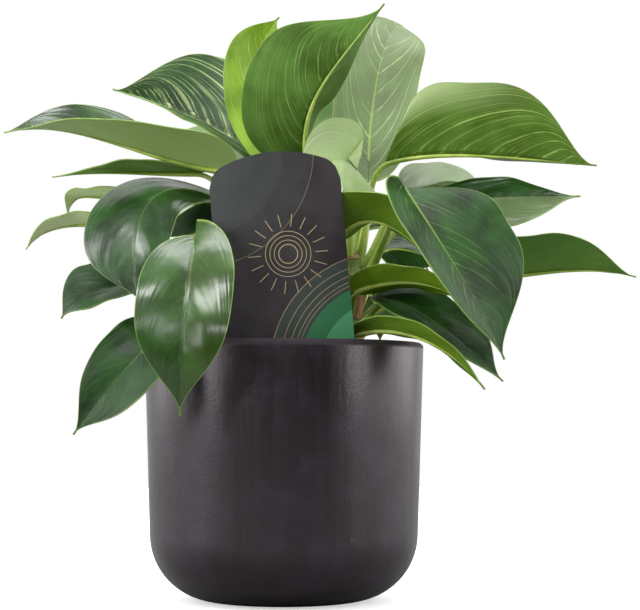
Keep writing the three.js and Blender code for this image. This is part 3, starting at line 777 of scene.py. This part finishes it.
class NurseryPotSettings(bpy.types.PropertyGroup):
    rim_radius: length("Rim radius", "Radius of the pot at its rim", NURSERY_RIM_RADIUS * MM)
    foot_radius: length("Foot radius", "Radius of the pot at its foot", NURSERY_FOOT_RADIUS * MM)
    height: length("Height", "Height of the nursery pot", NURSERY_TALL * MM)
    drains: whole("Drain holes", "Holes in the floor", 6, 3)
    plastic: tint("Plastic", "Colour of the moulded plastic", 27, 26, 26)


class PeatSettings(bpy.types.PropertyGroup):
    relief: length("Relief", "Height of the surface's lumps", 0.0016)
    crumbs: whole("Crumbs", "Loose crumbs on the surface", 300)
    peat_deep: tint("Peat", "Colour of moist peat", 38, 26, 19)
    peat_light: tint("Dry peat", "Colour of the drier crumbs", 84, 60, 43)


class StemSettings(bpy.types.PropertyGroup):
    ring_pitch: length("Ring pitch", "Distance between old leaf scars", 0.009)
    sheaths: whole("Dry sheaths", "Papery sheaths on each stem", 5)
    bark_green: tint("Green bark", "Young green bark", 96, 122, 52)
    bark_brown: tint("Brown bark", "Older brown bark", 112, 96, 56)
    scar: tint("Scar", "Corky ring of an old leaf", 150, 128, 86)


class LeafSettings(bpy.types.PropertyGroup):
    thickness: length("Thickness", "Thickness of a blade", 0.0006)
    ripple: length("Ripple", "Height of the waves along a blade's margin", 0.0008)
    quilting: length("Quilting", "Depth of the side veins", 0.0003)
    stripe_count: amount("Stripes", "Stripes along a blade", 12, 1)
    dark_deep: tint("Old leaf", "Deep green of old leaves", 13, 35, 9)
    dark_light: tint("Old leaf patches", "Lighter green of old leaves", 31, 67, 20)
    fresh_deep: tint("Young leaf", "Green of young leaves", 47, 81, 7)
    fresh_light: tint("Young leaf patches", "Lighter green of young leaves", 69, 105, 14)
    lime_deep: tint("Newest leaf", "Lime green of the newest leaf", 106, 144, 14)
    lime_light: tint("Newest leaf patches", "Lighter lime green", 142, 178, 40)
    # Pale green of young leaves, also mixed in as a painted sheen on old leaves and margins.
    young: tint("Pale green", "Soft green of pale leaves", 198, 216, 160)
    # Painted sunlight: the yellow-green that sun and glow mix in.
    painted_sunlight: tint("Sunlit green", "Yellowish green of leaves near the light", 116, 152, 34)
    under_dark: tint("Underside", "Underside of old leaves", 62, 98, 42)
    under_fresh: tint("Young underside", "Underside of young leaves", 47, 75, 8)
    under_light: tint("Underside patches", "Lighter green of undersides", 76, 112, 43)
    stripe: tint("Stripe", "Pale stripes", 188, 206, 140)
    under_vein: tint("Underside vein", "Fine veins of an underside", 158, 184, 96)
    midrib: tint("Midrib", "Line of the midrib", 150, 180, 84)
    edge: tint("Edge", "Thin pale edge of a blade", 140, 166, 84)
    stalk_deep: tint("Stalk", "Colour of the stalks", 120, 148, 46)
    stalk_light: tint("Stalk, light", "Lighter parts of the stalks", 170, 188, 84)


class TagSettings(bpy.types.PropertyGroup):
    width: length("Width", "Width of the card", 0.064)
    thickness: length("Thickness", "Thickness of the card", 0.0009)
    bend_radius: length("Bend radius", "Radius that the card is bent to", 0.095)
    card_deep: tint("Card", "Soft black of the card", 38, 33, 36)
    card_light: tint("Card, worn", "Lighter clouds of the card", 50, 46, 48)
    print_green: tint("Print green", "Green of the print", 44, 112, 72)
    print_mint: tint("Print mint", "Lighter green of the print", 78, 150, 104)
    print_moss: tint("Print moss", "Faint grey green of the print", 66, 84, 74)
    print_gold: tint("Print gold", "Pale gold lines", 190, 172, 128)


class StageSettings(bpy.types.PropertyGroup):
    floor: tint("Floor", "Colour of the floor", 200, 200, 200)
    floor_bounce: tint("Floor bounce", "How the floor lights the plant", 119, 119, 119)
    side_light: amount("Side light", "Power of the side lights", 9.4)
    top_light: amount("Top light", "Power of the light above", 28)
    key_light: amount("Key light", "Power of the light in front", 8)


# ---- Pots and peat ----


class PLANT_OT_cover_pot(bpy.types.Operator):
    """Build the ceramic cover pot"""

    bl_idname = "plant.cover_pot"
    bl_label = "Cover Pot"

    def execute(self, context):
        s = context.scene.plant_cover_pot
        rim, foot, height = s.rim_radius / MM, s.foot_radius / MM, s.height / MM
        wall, corner = s.wall / MM, s.corner / MM
        inner = corner - wall
        base = foot - corner
        centre, recess, ground = 1.5, 1.6, base - 3.5
        profile = [(centre, recess), (ground - 3.5, recess), (ground - 2, 1.2)]
        profile += [(ground - 1, 0.2), (ground, 0)]
        profile += arc(base, corner, corner, -90, 0, 24)
        profile += [(foot + (rim - foot) * 0.5, (corner + height) * 0.5)]
        profile += arc(rim - wall / 2, height - wall / 2, wall / 2, 0, 180, 12)
        profile += arc(base, COVER_FLOOR + inner, inner, 0, -90, 16)
        profile += [(centre, COVER_FLOOR)]
        pot = turned("charcoal_pot", profile, s.sides)
        dress(pot, satin_glaze(s), bare_clay())
        for face in pot.data.polygons:
            out = math.hypot(face.center.x, face.center.y)
            if face.center.z < (recess + 0.1) * MM and out < (ground + 1.5) * MM:
                face.material_index = 1
        smooth(pot, 40)
        finished(pot, "cover_pot")
        return {"FINISHED"}


class PLANT_OT_nursery_pot(bpy.types.Operator):
    """Build the thin nursery pot that stands in the cover pot"""

    bl_idname = "plant.nursery_pot"
    bl_label = "Nursery Pot"

    def execute(self, context):
        s = context.scene.plant_nursery_pot
        outer, foot, wall = s.rim_radius / MM, s.foot_radius / MM, NURSERY_WALL
        low = NURSERY_FLOOR
        heel = low + NURSERY_HEEL
        rim = low + s.height / MM
        flare = rim - NURSERY_COLLAR
        waist = outer - COLLAR_FLARE
        profile = [(1, low), (foot - 6, low), (foot - 2, low + 1.6), (foot, heel)]
        profile += [(waist, flare), (outer - 1, flare), (outer - 0.2, rim - 0.6)]
        profile += [(outer, rim - 0.2), (outer - 0.3, rim), (outer - wall, rim)]
        profile += [(outer - 1 - wall, flare + wall), (waist - wall, flare + wall)]
        profile += [(foot - wall, heel), (foot - 6 - wall, low + wall), (1, low + wall)]
        pot = turned("black_nursery_pot", profile, 96)
        drills = []
        ring, hole, deep = 22, 4, 6
        for i in range(s.drains):
            angle = 2 * math.pi * i / s.drains
            place = Vector((ring * math.cos(angle), ring * math.sin(angle), low)) * MM
            bpy.ops.mesh.primitive_cylinder_add(
                vertices=32, radius=hole * MM, depth=deep * MM, location=place
            )
            drills.append(bpy.context.object)
        drill = join(drills, "drill")
        pick(pot)
        bpy.ops.object.modifier_add(type="BOOLEAN")
        drains = pot.modifiers[-1]
        drains.operation, drains.solver, drains.object = "DIFFERENCE", "EXACT", drill
        bpy.ops.object.modifier_apply(modifier=drains.name)
        bpy.data.objects.remove(drill)
        dress(pot, black_plastic(s))
        smooth(pot, 35)
        finished(pot, "nursery_pot")
        return {"FINISHED"}


def peat_radius(height):
    """Inside radius of the nursery pot at a height, in millimetres, less the fitting gap."""
    wall = NURSERY_TALL - NURSERY_COLLAR - NURSERY_HEEL
    share = (height - NURSERY_FLOOR - NURSERY_HEEL) / wall
    widening = NURSERY_RIM_RADIUS - COLLAR_FLARE - NURSERY_FOOT_RADIUS
    return NURSERY_FOOT_RADIUS + widening * share - NURSERY_WALL - 2 * FIT


def peat_height(x, y, relief):
    """Height of the peat's surface: a low mound with crumbs and lumps, in millimetres."""
    crumbs = math.sin(x * 0.41 + 1.3 * math.sin(y * 0.23)) * math.cos(y * 0.37 - 0.8)
    lumps = math.sin(x * 0.83 - y * 0.61) * math.cos(x * 0.29 + y * 0.97)
    fine = math.sin(x * 2.3 + y * 1.1) * math.sin(y * 2.9 - x * 0.7)
    rise, reach = 3, 60
    mound = rise * (1 - math.hypot(x, y) / reach)
    return PEAT_TOP + relief * (0.6 * crumbs + 0.5 * lumps + 0.25 * fine) + mound


class PLANT_OT_peat(bpy.types.Operator):
    """Build the peat with its crumbly surface"""

    bl_idname = "plant.peat"
    bl_label = "Peat"

    def execute(self, context):
        s = context.scene.plant_peat
        relief = s.relief / MM
        top = peat_radius(PEAT_TOP - relief)
        low = PEAT_BOTTOM + NURSERY_HEEL
        rings, flat = 30, 31
        profile = [(1, PEAT_BOTTOM), (flat, PEAT_BOTTOM), (peat_radius(low), low)]
        profile += [(top, PEAT_TOP - 3)]
        profile += [(top * (1 - i / rings), PEAT_TOP) for i in range(rings)]
        profile += [(1, PEAT_TOP)]
        ball = turned("peat_ball", profile, 120)
        for vertex in ball.data.vertices:
            if vertex.co.z > (PEAT_TOP - 1) * MM:
                vertex.co.z = peat_height(vertex.co.x / MM, vertex.co.y / MM, relief) * MM
        chance = random.Random(7)
        bpy.ops.mesh.primitive_ico_sphere_add(subdivisions=1, radius=1 * MM)
        model = settle(bpy.context.object, "crumb")
        for vertex in model.data.vertices:
            vertex.co *= chance.uniform(0.7, 1.15)
        crumbs = []
        for _ in range(s.crumbs):
            out = (top - 3) * math.sqrt(chance.random())
            angle = chance.uniform(0, 2 * math.pi)
            x, y = out * math.cos(angle), out * math.sin(angle)
            crumb = model.copy()
            crumb.data = model.data.copy()
            context.collection.objects.link(crumb)
            size = chance.uniform(0.5, 1.9)
            turn = Matrix.Rotation(chance.uniform(0, 6.28), 4, "Z")
            turn = turn @ Matrix.Rotation(chance.uniform(0, 3.14), 4, "X")
            stretch = Matrix.Diagonal((size * chance.uniform(0.8, 1.8), size, size * 0.8, 1))
            place = Vector((x, y, peat_height(x, y, relief) + 0.25 * size)) * MM
            crumb.matrix_world = Matrix.Translation(place) @ turn @ stretch
            crumbs.append(crumb)
        bpy.data.objects.remove(model)
        peat = join([ball, *crumbs], "crumbly_peat")
        dress(peat, moist_peat(s))
        smooth(peat, 50)
        finished(peat, "peat")
        return {"FINISHED"}


# ---- Stems ----


def stem_centre(stem, height):
    """Centre of a stem at a height, in millimetres."""
    share = (height - STEM_LOW) / (stem["top"][2] - STEM_LOW)
    x = stem["foot"][0] + (stem["top"][0] - stem["foot"][0]) * share
    y = stem["foot"][1] + (stem["top"][1] - stem["foot"][1]) * share
    return Vector((x, y, height))


def stem_piece(side, s):
    """A stem: a ring raised in short steps, waisted between the leaf scars and closed on top."""
    stem = STEMS[side]
    pitch = s.ring_pitch / MM
    centre = stem_centre(stem, STEM_LOW)
    radius = stem["radius"]
    bpy.ops.mesh.primitive_circle_add(
        vertices=36, radius=radius * MM, location=centre * MM, fill_type="NGON"
    )
    piece = settle(bpy.context.object, f"ringed_stem_{side}")
    edit_all()
    top = stem["top"][2]
    step, crown_tall = 1.25, 9
    steps = int((top - STEM_LOW) / step)
    for i in range(1, steps + 1):
        height = STEM_LOW + (top - STEM_LOW) * i / steps
        next_centre = stem_centre(stem, height)
        extrude((next_centre - centre) * MM)
        turns = 2 * math.pi * (height - STEM_LOW) / pitch
        scar = 0.05 * math.cos(turns) + 0.012 * math.cos(turns / 0.37)
        nearing = max(0.0, (height - top + crown_tall) / (crown_tall + 0.2))
        crown = math.sqrt(max(0.02, 1 - nearing**2))
        next_radius = stem["radius"] * (1 + scar) * crown
        factor = next_radius / radius
        bpy.ops.transform.resize(value=(factor, factor, 1), center_override=next_centre * MM)
        centre, radius = next_centre, next_radius
    mode("OBJECT")
    return piece


def sheath_piece(stem, number, chance):
    """A dry sheath: a sheet wrapped part of the way round the stem, pointed and curling out."""
    lowest, apart = 112, 9.5
    low = lowest + apart * number + chance.uniform(-2, 2)
    tall = chance.uniform(11, 19)
    wrap = chance.uniform(0.9, 1.5)
    facing = chance.uniform(0, 2 * math.pi)
    flare = chance.uniform(1.5, 4.5)
    bpy.ops.mesh.primitive_grid_add(x_subdivisions=8, y_subdivisions=12, size=2)
    sheet = bpy.context.object
    for vertex in sheet.data.vertices:
        across, up = vertex.co.x, (vertex.co.y + 1) / 2
        width = wrap * (1 - up) ** 0.6 + 0.02
        angle = facing + across * width
        centre = stem_centre(stem, low + tall * up)
        crinkle = 0.5 * math.sin(7 * across + number) * up
        out = stem["radius"] * 1.02 + 0.25 + flare * up**2.2 + crinkle
        vertex.co = (centre + Vector((out * math.cos(angle), out * math.sin(angle), 0))) * MM
    settle(sheet, "sheath")
    thicken(sheet, 0.35 * MM, 0)
    return sheet


class PLANT_OT_stems(bpy.types.Operator):
    """Build the ringed stems and their dry sheaths"""

    bl_idname = "plant.stems"
    bl_label = "Stems"

    def execute(self, context):
        s = context.scene.plant_stems
        bark, dry = stem_bark(s), dry_sheath()
        for seed, side in enumerate(STEMS):
            stem = stem_piece(side, s)
            dress(stem, bark)
            smooth(stem, 60)
            finished(stem, f"stem_{side}")
            chance = random.Random(20 + seed)
            sheets = [sheath_piece(STEMS[side], i, chance) for i in range(s.sheaths)]
            sheaths = join(sheets, f"dry_sheaths_{side}")
            dress(sheaths, dry)
            smooth(sheaths, 60)
            finished(sheaths)
        return {"FINISHED"}


# ---- Leaves ----

# Where along the midrib the stalk turns into it, and how far the midrib runs on from there.
RIB_START, RIB_RUN = 0.04, 0.93


class Leaf:
    """One leaf of the table, in metres: the curve of its midrib and the surface about it."""

    ROWS, COLUMNS = 60, 28
    HALF_TIP = 0.35 * MM
    NO_CURL = 1e-4

    def __init__(self, values, number):
        self.number = number
        self.stem = STEMS[values["stem"]]
        a, b, c, d = [Vector(p) * MM for p in values["rib"]]
        near, far = -5 * a + 18 * b - 9 * c + 2 * d, 2 * a - 9 * b + 18 * c - 5 * d
        self.rib = (a, near / 6, far / 6, d)
        self.face = [Vector(p) for p in values["face"]]
        self.half = [h * MM for h in values["half"]]
        self.fold = [math.radians(angle) for angle in values["fold"]]
        self.curl = [math.radians(angle) or self.NO_CURL for angle in values["curl"]]
        for key in ("name", "tone", "node", "lobe", "widest", "roundness", "fullness", "spread"):
            setattr(self, key, values[key])
        self.rise, self.bend = values["rise"], values["bend"]
        self.looks = {key: values[key] for key in LEAF_LOOKS}
        self.finish = values["finish"] or self.tone
        self.turn = math.radians(values["turn"])
        count = 100
        steps = [self.middle(i / count) for i in range(count + 1)]
        self.length = sum((q - p).length for p, q in zip(steps, steps[1:]))

    def middle(self, t):
        return bezier(self.rib, t)

    def axes(self, t):
        """Along the midrib, to its right, and out of the upper face."""
        a, b, c, d = self.rib
        u = 1 - t
        along = (u * u * (b - a) + 2 * u * t * (c - b) + t * t * (d - c)).normalized()
        face = self.face[0].lerp(self.face[1], t)
        up = (face - face.dot(along) * along).normalized()
        return along, along.cross(up), up

    def share(self, t):
        """Share of the full half-width: a round base and a drawn-out tip."""
        if t < self.widest:
            return math.sqrt(max(0.0, 1 - (1 - t / self.widest) ** self.roundness))
        s = (t - self.widest) / (1 - self.widest)
        return 0.5 * (1 + math.cos(math.pi * s**self.fullness))

    def width(self, side, t):
        return max(self.half[side] * self.share(t), self.HALF_TIP)

    def reach_back(self, side, t, far):
        """How far a base lobe reaches back past the midrib's foot."""
        return self.lobe[side] * self.length * far**2 * max(0.0, 1 - t / self.widest) ** 2

    def point(self, t, v, lift, ripple):
        """A point of the blade: t runs along the midrib, v from -1 to 1 across."""
        along, right, up = self.axes(t)
        side = 0 if v < 0 else 1
        far = abs(v)
        width = self.width(side, t)
        fold, curl = self.fold[side], self.curl[side]
        angle = fold + curl * far
        sideways = width * (math.sin(angle) - math.sin(fold)) / curl
        rise = width * (math.cos(fold) - math.cos(angle)) / curl
        phase = 1.7 * self.number + 2.1 * side
        wave = far**3 * (math.sin(9 * t + phase) + 0.35 * math.sin(23 * t + 2 * phase))
        wave += 0.55 * math.sin(math.pi * far) * math.sin(11 * t - 3 * far + 1.6 * phase)
        wave *= ripple * self.share(t)
        across = (1 if side else -1) * (sideways - lift * math.sin(angle))
        above = rise + wave + lift * math.cos(angle)
        back = self.reach_back(side, t, far)
        return self.middle(t) + across * right + above * up - back * along

    def stalk(self):
        """The four points that steer the stalk, from inside the stem to under the midrib."""
        along, _, up = self.axes(RIB_START)
        under = 1.02 * MM
        end = self.middle(RIB_START) - under * up
        centre = stem_centre(self.stem, self.node) * MM
        outward_way = Vector((end.x - centre.x, end.y - centre.y, 0)).normalized()
        outward_way.rotate(Matrix.Rotation(self.turn, 3, "Z"))
        foot = centre + outward_way * (self.stem["radius"] - STALK_SINK) * MM
        reach = (end - foot).length
        spread = self.spread
        if spread is None:  # the lower a leaf grows, the further out its stalk leans
            spread = 0.25 + 0.025 * (self.stem["top"][2] - 5 - self.node)
        rise = (outward_way * spread + Vector((0, 0, 1))).normalized()
        return foot, foot + rise * self.rise * reach, end - along * self.bend * reach, end


def leaf_blade(leaf, s, finishes):
    """A blade: a thickened grid along the midrib, with maps for its veins and edges.

    The map of the edges says how far a point is from the midrib and the edge, in centimetres.
    """
    bpy.ops.mesh.primitive_grid_add(x_subdivisions=leaf.COLUMNS, y_subdivisions=leaf.ROWS, size=2)
    blade = bpy.context.object
    mesh = blade.data
    places = [(vertex.co.x, (vertex.co.y + 1) / 2) for vertex in mesh.vertices]
    crowding = 0.65  # of the rows, towards the base and the tip
    places = [
        (v, (1 - crowding) * row + crowding * (0.5 - 0.5 * math.cos(math.pi * row)))
        for v, row in places
    ]
    lift = s.thickness / 2
    for vertex, (v, t) in zip(mesh.vertices, places):
        vertex.co = leaf.point(t, v, lift, s.ripple)
    mesh.uv_layers[0].name = "UVMap"
    for name in ("veins", "edges"):
        mesh.uv_layers.new(name=name)
    chart, veins, edges = [mesh.uv_layers[name].data for name in ("UVMap", "veins", "edges")]
    seed = 2.37 * leaf.number
    for loop in mesh.loops:
        v, t = places[loop.vertex_index]
        side, far = 0 if v < 0 else 1, abs(v)
        width = leaf.width(side, t)
        foot = t - width / leaf.length * (0.9 * far + 1.1 * far**2) - 0.4 * far**5
        from_rib = far * width + leaf.reach_back(side, t, far)
        from_edge = (1 - far) * leaf.width(side, max(t, 0.02))
        chart[loop.index].uv = (0.5 + v / 2, t)
        veins[loop.index].uv = (foot + seed, far + (3 if v > 0 else 0))
        edges[loop.index].uv = (from_rib * 100, from_edge * 100)
    for name, look in leaf.looks.items():
        left, right = look if isinstance(look, tuple) else (look, look)
        for entry, (v, _) in zip(mesh.attributes.new(name, "FLOAT", "POINT").data, places):
            entry.value = left if v < 0 else right
    settle(blade, "blade")
    dress(blade, *finishes)
    thicken(blade, s.thickness, -1, far_side=1, rim=2)
    rim = {key for face in mesh.polygons if face.material_index == 2 for key in face.edge_keys}
    flat = {key for face in mesh.polygons if face.material_index != 2 for key in face.edge_keys}
    bpy.ops.object.shade_smooth()
    for edge in mesh.edges:
        if edge.key in rim and edge.key in flat:
            edge.use_edge_sharp = True
    return blade


def leaf_stalk_piece(leaf, finish):
    """The stalk and, under the blade, the midrib that it runs on into."""
    steer = leaf.stalk()
    points = []
    free, bound = 18, 24
    slim, swelling, tip, sunk = 1.3, 1.6, 0.14, 0.25
    for i in range(free + 1):
        t = i / free
        points.append((bezier(steer, t), slim + swelling * (1 - t) * (1 - t)))
    for i in range(1, bound + 1):
        t = RIB_START + RIB_RUN * i / bound
        radius = 1.2 * (1 - t) ** 1.1 + tip
        _, _, up = leaf.axes(t)
        points.append((leaf.middle(t) - up * (radius - sunk) * MM, radius))
    bpy.ops.curve.primitive_nurbs_path_add()
    curve = bpy.context.object.data
    curve.splines.clear()
    spline = curve.splines.new("POLY")
    spline.points.add(len(points) - 1)
    for point, (place, radius) in zip(spline.points, points):
        point.co = (*place, 1)
        point.radius = radius
    curve.dimensions = "3D"
    curve.twist_mode = "MINIMUM"
    curve.bevel_depth = MM
    curve.bevel_resolution = 4
    curve.use_fill_caps = True
    bpy.ops.object.convert(target="MESH")
    stalk = settle(bpy.context.object, "stalk")
    dress(stalk, finish)
    bpy.ops.object.shade_smooth()
    return stalk


class PLANT_OT_leaves(bpy.types.Operator):
    """Build every leaf with its stalk"""

    bl_idname = "plant.leaves"
    bl_label = "Leaves"

    def execute(self, context):
        s = context.scene.plant_leaves
        stalk_finish, edge_finish = leaf_stalk(s), leaf_edge(s)
        upper = {
            "dark": leaf_upper("old_leaf", s, s.dark_deep, s.dark_light, 0.5, 0.2),
            "dull": leaf_upper("shaded_leaf", s, s.dark_deep, s.dark_light, 0.5, 0.36, 0.2),
            "fresh": leaf_upper("young_leaf", s, s.fresh_deep, s.fresh_light, 0.5, 0.28),
            "lime": leaf_upper("newest_leaf", s, s.lime_deep, s.lime_light, 0.7, 0.36, 0.3),
        }
        under = {
            "dark": leaf_under("old_leaf_under", s, s.under_dark, s.under_light, 0.5),
            "fresh": leaf_under("young_leaf_under", s, s.under_fresh, s.under_light, 0.55),
            "lime": leaf_under("newest_leaf_under", s, s.lime_deep, s.lime_light, 0.5),
        }
        for number, planned in enumerate(LEAVES):
            leaf = Leaf(planned, number)
            finishes = (upper[leaf.finish], under[leaf.tone], edge_finish)
            blade = leaf_blade(leaf, s, finishes)
            stalk = leaf_stalk_piece(leaf, stalk_finish)
            piece = join([blade, stalk], f"striped_leaf_{leaf.name}")
            finished(piece, f"leaf_{leaf.name}")
        return {"FINISHED"}


# ---- Plant tag ----

# Heights on a straight tag, in millimetres above the floor: the card's upper edge, how far that
# edge bulges, the radius of its corners, the lower edge, how far that one drops to the stake, and
# half the stake's width. The tag is made with TAG_LIFT at zero and then stood up.
TAG_TOP, TAG_CROWN, TAG_CORNER = 210, 8, 7
TAG_LOW, TAG_DROP, STAKE_SIDE = 124, 6, 9
TAG_LIFT = 70


class PLANT_OT_tag(bpy.types.Operator):
    """Build the printed plant tag on its stake"""

    bl_idname = "plant.tag"
    bl_label = "Plant Tag"

    def execute(self, context):
        s = context.scene.plant_tag
        side = s.width / 2 / MM
        bpy.ops.mesh.primitive_grid_add(x_subdivisions=32, y_subdivisions=44, size=2)
        tag = bpy.context.object
        for vertex in tag.data.vertices:
            x = vertex.co.x * side
            far = abs(x)
            top = TAG_TOP + TAG_CROWN * (1 - (far / side) ** 2)
            corner = far - (side - TAG_CORNER)
            if corner > 0:
                top -= TAG_CORNER - math.sqrt(max(0.0, TAG_CORNER**2 - corner**2))
            low = TAG_LOW - TAG_DROP * min(1.0, (side - far) / (side - STAKE_SIDE))
            up = (vertex.co.y + 1) / 2
            vertex.co = Vector((x, 0, low + (top - low) * up - TAG_LIFT)) * MM
        settle(tag, "printed_tag")
        bottom = TAG_LOW - TAG_DROP - TAG_LIFT
        across, above = (STAKE_SIDE - 0.5) * MM, (bottom + 0.6) * MM
        select_where(tag, lambda p: abs(p.x) < across and p.z < above)
        for drop in (8, 8, 8, 8, 15.5):
            extrude((0, 0, -drop * MM))
        bpy.ops.transform.resize(value=(0.05, 1, 1), center_override=(0, 0, 0))
        mode("OBJECT")
        mesh = tag.data
        chart = mesh.uv_layers.new(name="print")
        for loop in mesh.loops:
            place = mesh.vertices[loop.vertex_index].co
            chart.data[loop.index].uv = (place.x * 100, place.z * 100)
        bend = s.bend_radius
        back, sideways = math.radians(4), math.radians(-5)
        lean = Matrix.Rotation(back, 4, "X") @ Matrix.Rotation(sideways, 4, "Y")
        stand = Matrix.Translation(Vector((8, -45.5, TAG_LIFT)) * MM) @ lean
        for vertex in mesh.vertices:
            angle = vertex.co.x / bend
            bent = Vector((bend * math.sin(angle), bend - bend * math.cos(angle), vertex.co.z))
            vertex.co = stand @ bent
        dress(tag, printed_card(s), plain_card(s))
        thicken(tag, s.thickness, 0, far_side=1, rim=1)
        smooth(tag, 40)
        finished(tag, "plant_tag")
        return {"FINISHED"}


# ---- Stage ----


def lamp(name, place, size, power, aim=0.15, mirrored=True):
    """A soft light that looks at the axis, at the height aim. Unmirrored, it gives no glints."""
    bpy.ops.object.light_add(type="AREA", location=place)
    light = bpy.context.object
    light.name = name
    light.data.shape = "RECTANGLE"
    light.data.size, light.data.size_y = size
    light.data.energy = power
    way = Vector((0, 0, aim)) - Vector(place)
    light.rotation_euler = way.to_track_quat("-Z", "Y").to_euler()
    light.visible_glossy = mirrored


def studio():
    """A room that is bright behind the plant and above it, and white where the camera sees it."""
    world = bpy.data.worlds.new("studio")
    n = Nodes(world)
    way = n.split(n.add("ShaderNodeTexCoord").outputs["Generated"])
    back = n.band(way["Y"], 0.0, 0.9, 0.02, 0.88, "LINEAR")
    above = n.band(way["Z"], 0.0, 0.9, 0.03, 0.5, "LINEAR")
    seen = n.add("ShaderNodeLightPath").outputs["Is Camera Ray"]
    sky = n.add("ShaderNodeBackground")
    light = n.fed(sky, (1, 1, 1, 1), n.most(n.plus(back, above), seen))
    n.feed(n.add("ShaderNodeOutputWorld").inputs["Surface"], light)
    return world


class PLANT_OT_stage(bpy.types.Operator):
    """Build the pale floor, the soft lights and the camera"""

    bl_idname = "plant.stage"
    bl_label = "Stage"

    def execute(self, context):
        s = context.scene.plant_stage
        bpy.ops.mesh.primitive_circle_add(vertices=96, radius=1.3, fill_type="NGON")
        floor = bpy.context.object
        floor.name = "floor"
        f = Finish("floor_white")
        grain = f.cloud(30, 2)
        colour = f.mix(f.times(grain, 0.06), s.floor, paint(190, 190, 190))
        f.feed(f.shader.inputs["Emission Color"], (1, 1, 1, 1))
        seen = f.add("ShaderNodeLightPath").outputs["Is Camera Ray"]
        colour = f.mix(seen, s.floor_bounce, colour)
        f.feed(f.shader.inputs["Emission Strength"], f.times(seen, 0.55))
        dress(floor, f.finish(colour, 0.8))

        side, top, key = s.side_light, s.top_light, s.key_light
        lamp("left_panel", (-1.05, 0.1, 0.5), (1.4, 0.9), side)
        lamp("right_panel", (1.05, 0.15, 0.5), (1.4, 0.9), side * 1.1)
        lamp("left_softbox", (-0.95, -0.5, 0.6), (0.36, 1.0), side * 0.8)
        lamp("right_softbox", (0.95, -0.55, 0.58), (0.22, 1.0), side * 0.5)
        lamp("top_softbox", (0.0, 0.3, 1.25), (1.6, 1.2), top, aim=0.1, mirrored=False)
        lamp("overhead_strip", (0.1, 0.2, 1.2), (1.1, 0.3), top * 0.22, aim=0.1)
        lamp("front_strip", (-0.05, -1.3, 0.72), (0.45, 0.22), key * 0.28)
        lamp("front_window", (-0.66, -1.1, 0.5), (0.16, 0.5), key * 0.25)
        lamp("key_softbox", (-0.3, -0.65, 1.15), (0.45, 0.3), key)
        context.scene.world = studio()

        tilt = math.radians(93.33)
        bpy.ops.object.camera_add(location=(0.018, -0.9, 0.095), rotation=(tilt, 0, 0))
        camera = bpy.context.object
        camera.data.lens = 100.5
        camera.data.sensor_width = 36
        camera.data.clip_end = 50
        context.scene.camera = camera
        context.scene.view_settings.view_transform = "Standard"
        return {"FINISHED"}


class PLANT_PT_panel(bpy.types.Panel):
    """Lists the pieces of the plant"""

    bl_idname = "PLANT_PT_panel"
    bl_label = "Potted Philodendron"
    bl_space_type = "VIEW_3D"
    bl_region_type = "UI"
    bl_category = "Philodendron"

    def draw(self, context):
        for group, _, operator in PIECES:
            box = self.layout.box()
            settings = getattr(context.scene, group)
            for key in settings.__annotations__:
                box.prop(settings, key)
            box.operator(operator.bl_idname)


PIECES = (
    ("plant_stage", StageSettings, PLANT_OT_stage),
    ("plant_cover_pot", CoverPotSettings, PLANT_OT_cover_pot),
    ("plant_nursery_pot", NurseryPotSettings, PLANT_OT_nursery_pot),
    ("plant_peat", PeatSettings, PLANT_OT_peat),
    ("plant_stems", StemSettings, PLANT_OT_stems),
    ("plant_leaves", LeafSettings, PLANT_OT_leaves),
    ("plant_tag", TagSettings, PLANT_OT_tag),
)


def register():
    for group, settings, operator in PIECES:
        bpy.utils.register_class(settings)
        setattr(bpy.types.Scene, group, PointerProperty(type=settings))
        bpy.utils.register_class(operator)
    bpy.utils.register_class(PLANT_PT_panel)


def unregister():
    bpy.utils.unregister_class(PLANT_PT_panel)
    for group, settings, operator in PIECES:
        bpy.utils.unregister_class(operator)
        delattr(bpy.types.Scene, group)
        bpy.utils.unregister_class(settings)


def main():
    register()
    deselect()
    bpy.ops.plant.stage()
    bpy.ops.plant.cover_pot()
    bpy.ops.plant.nursery_pot()
    bpy.ops.plant.peat()
    bpy.ops.plant.stems()
    bpy.ops.plant.leaves()
    bpy.ops.plant.tag()
    deselect()


if __name__ == "__main__":
    main()
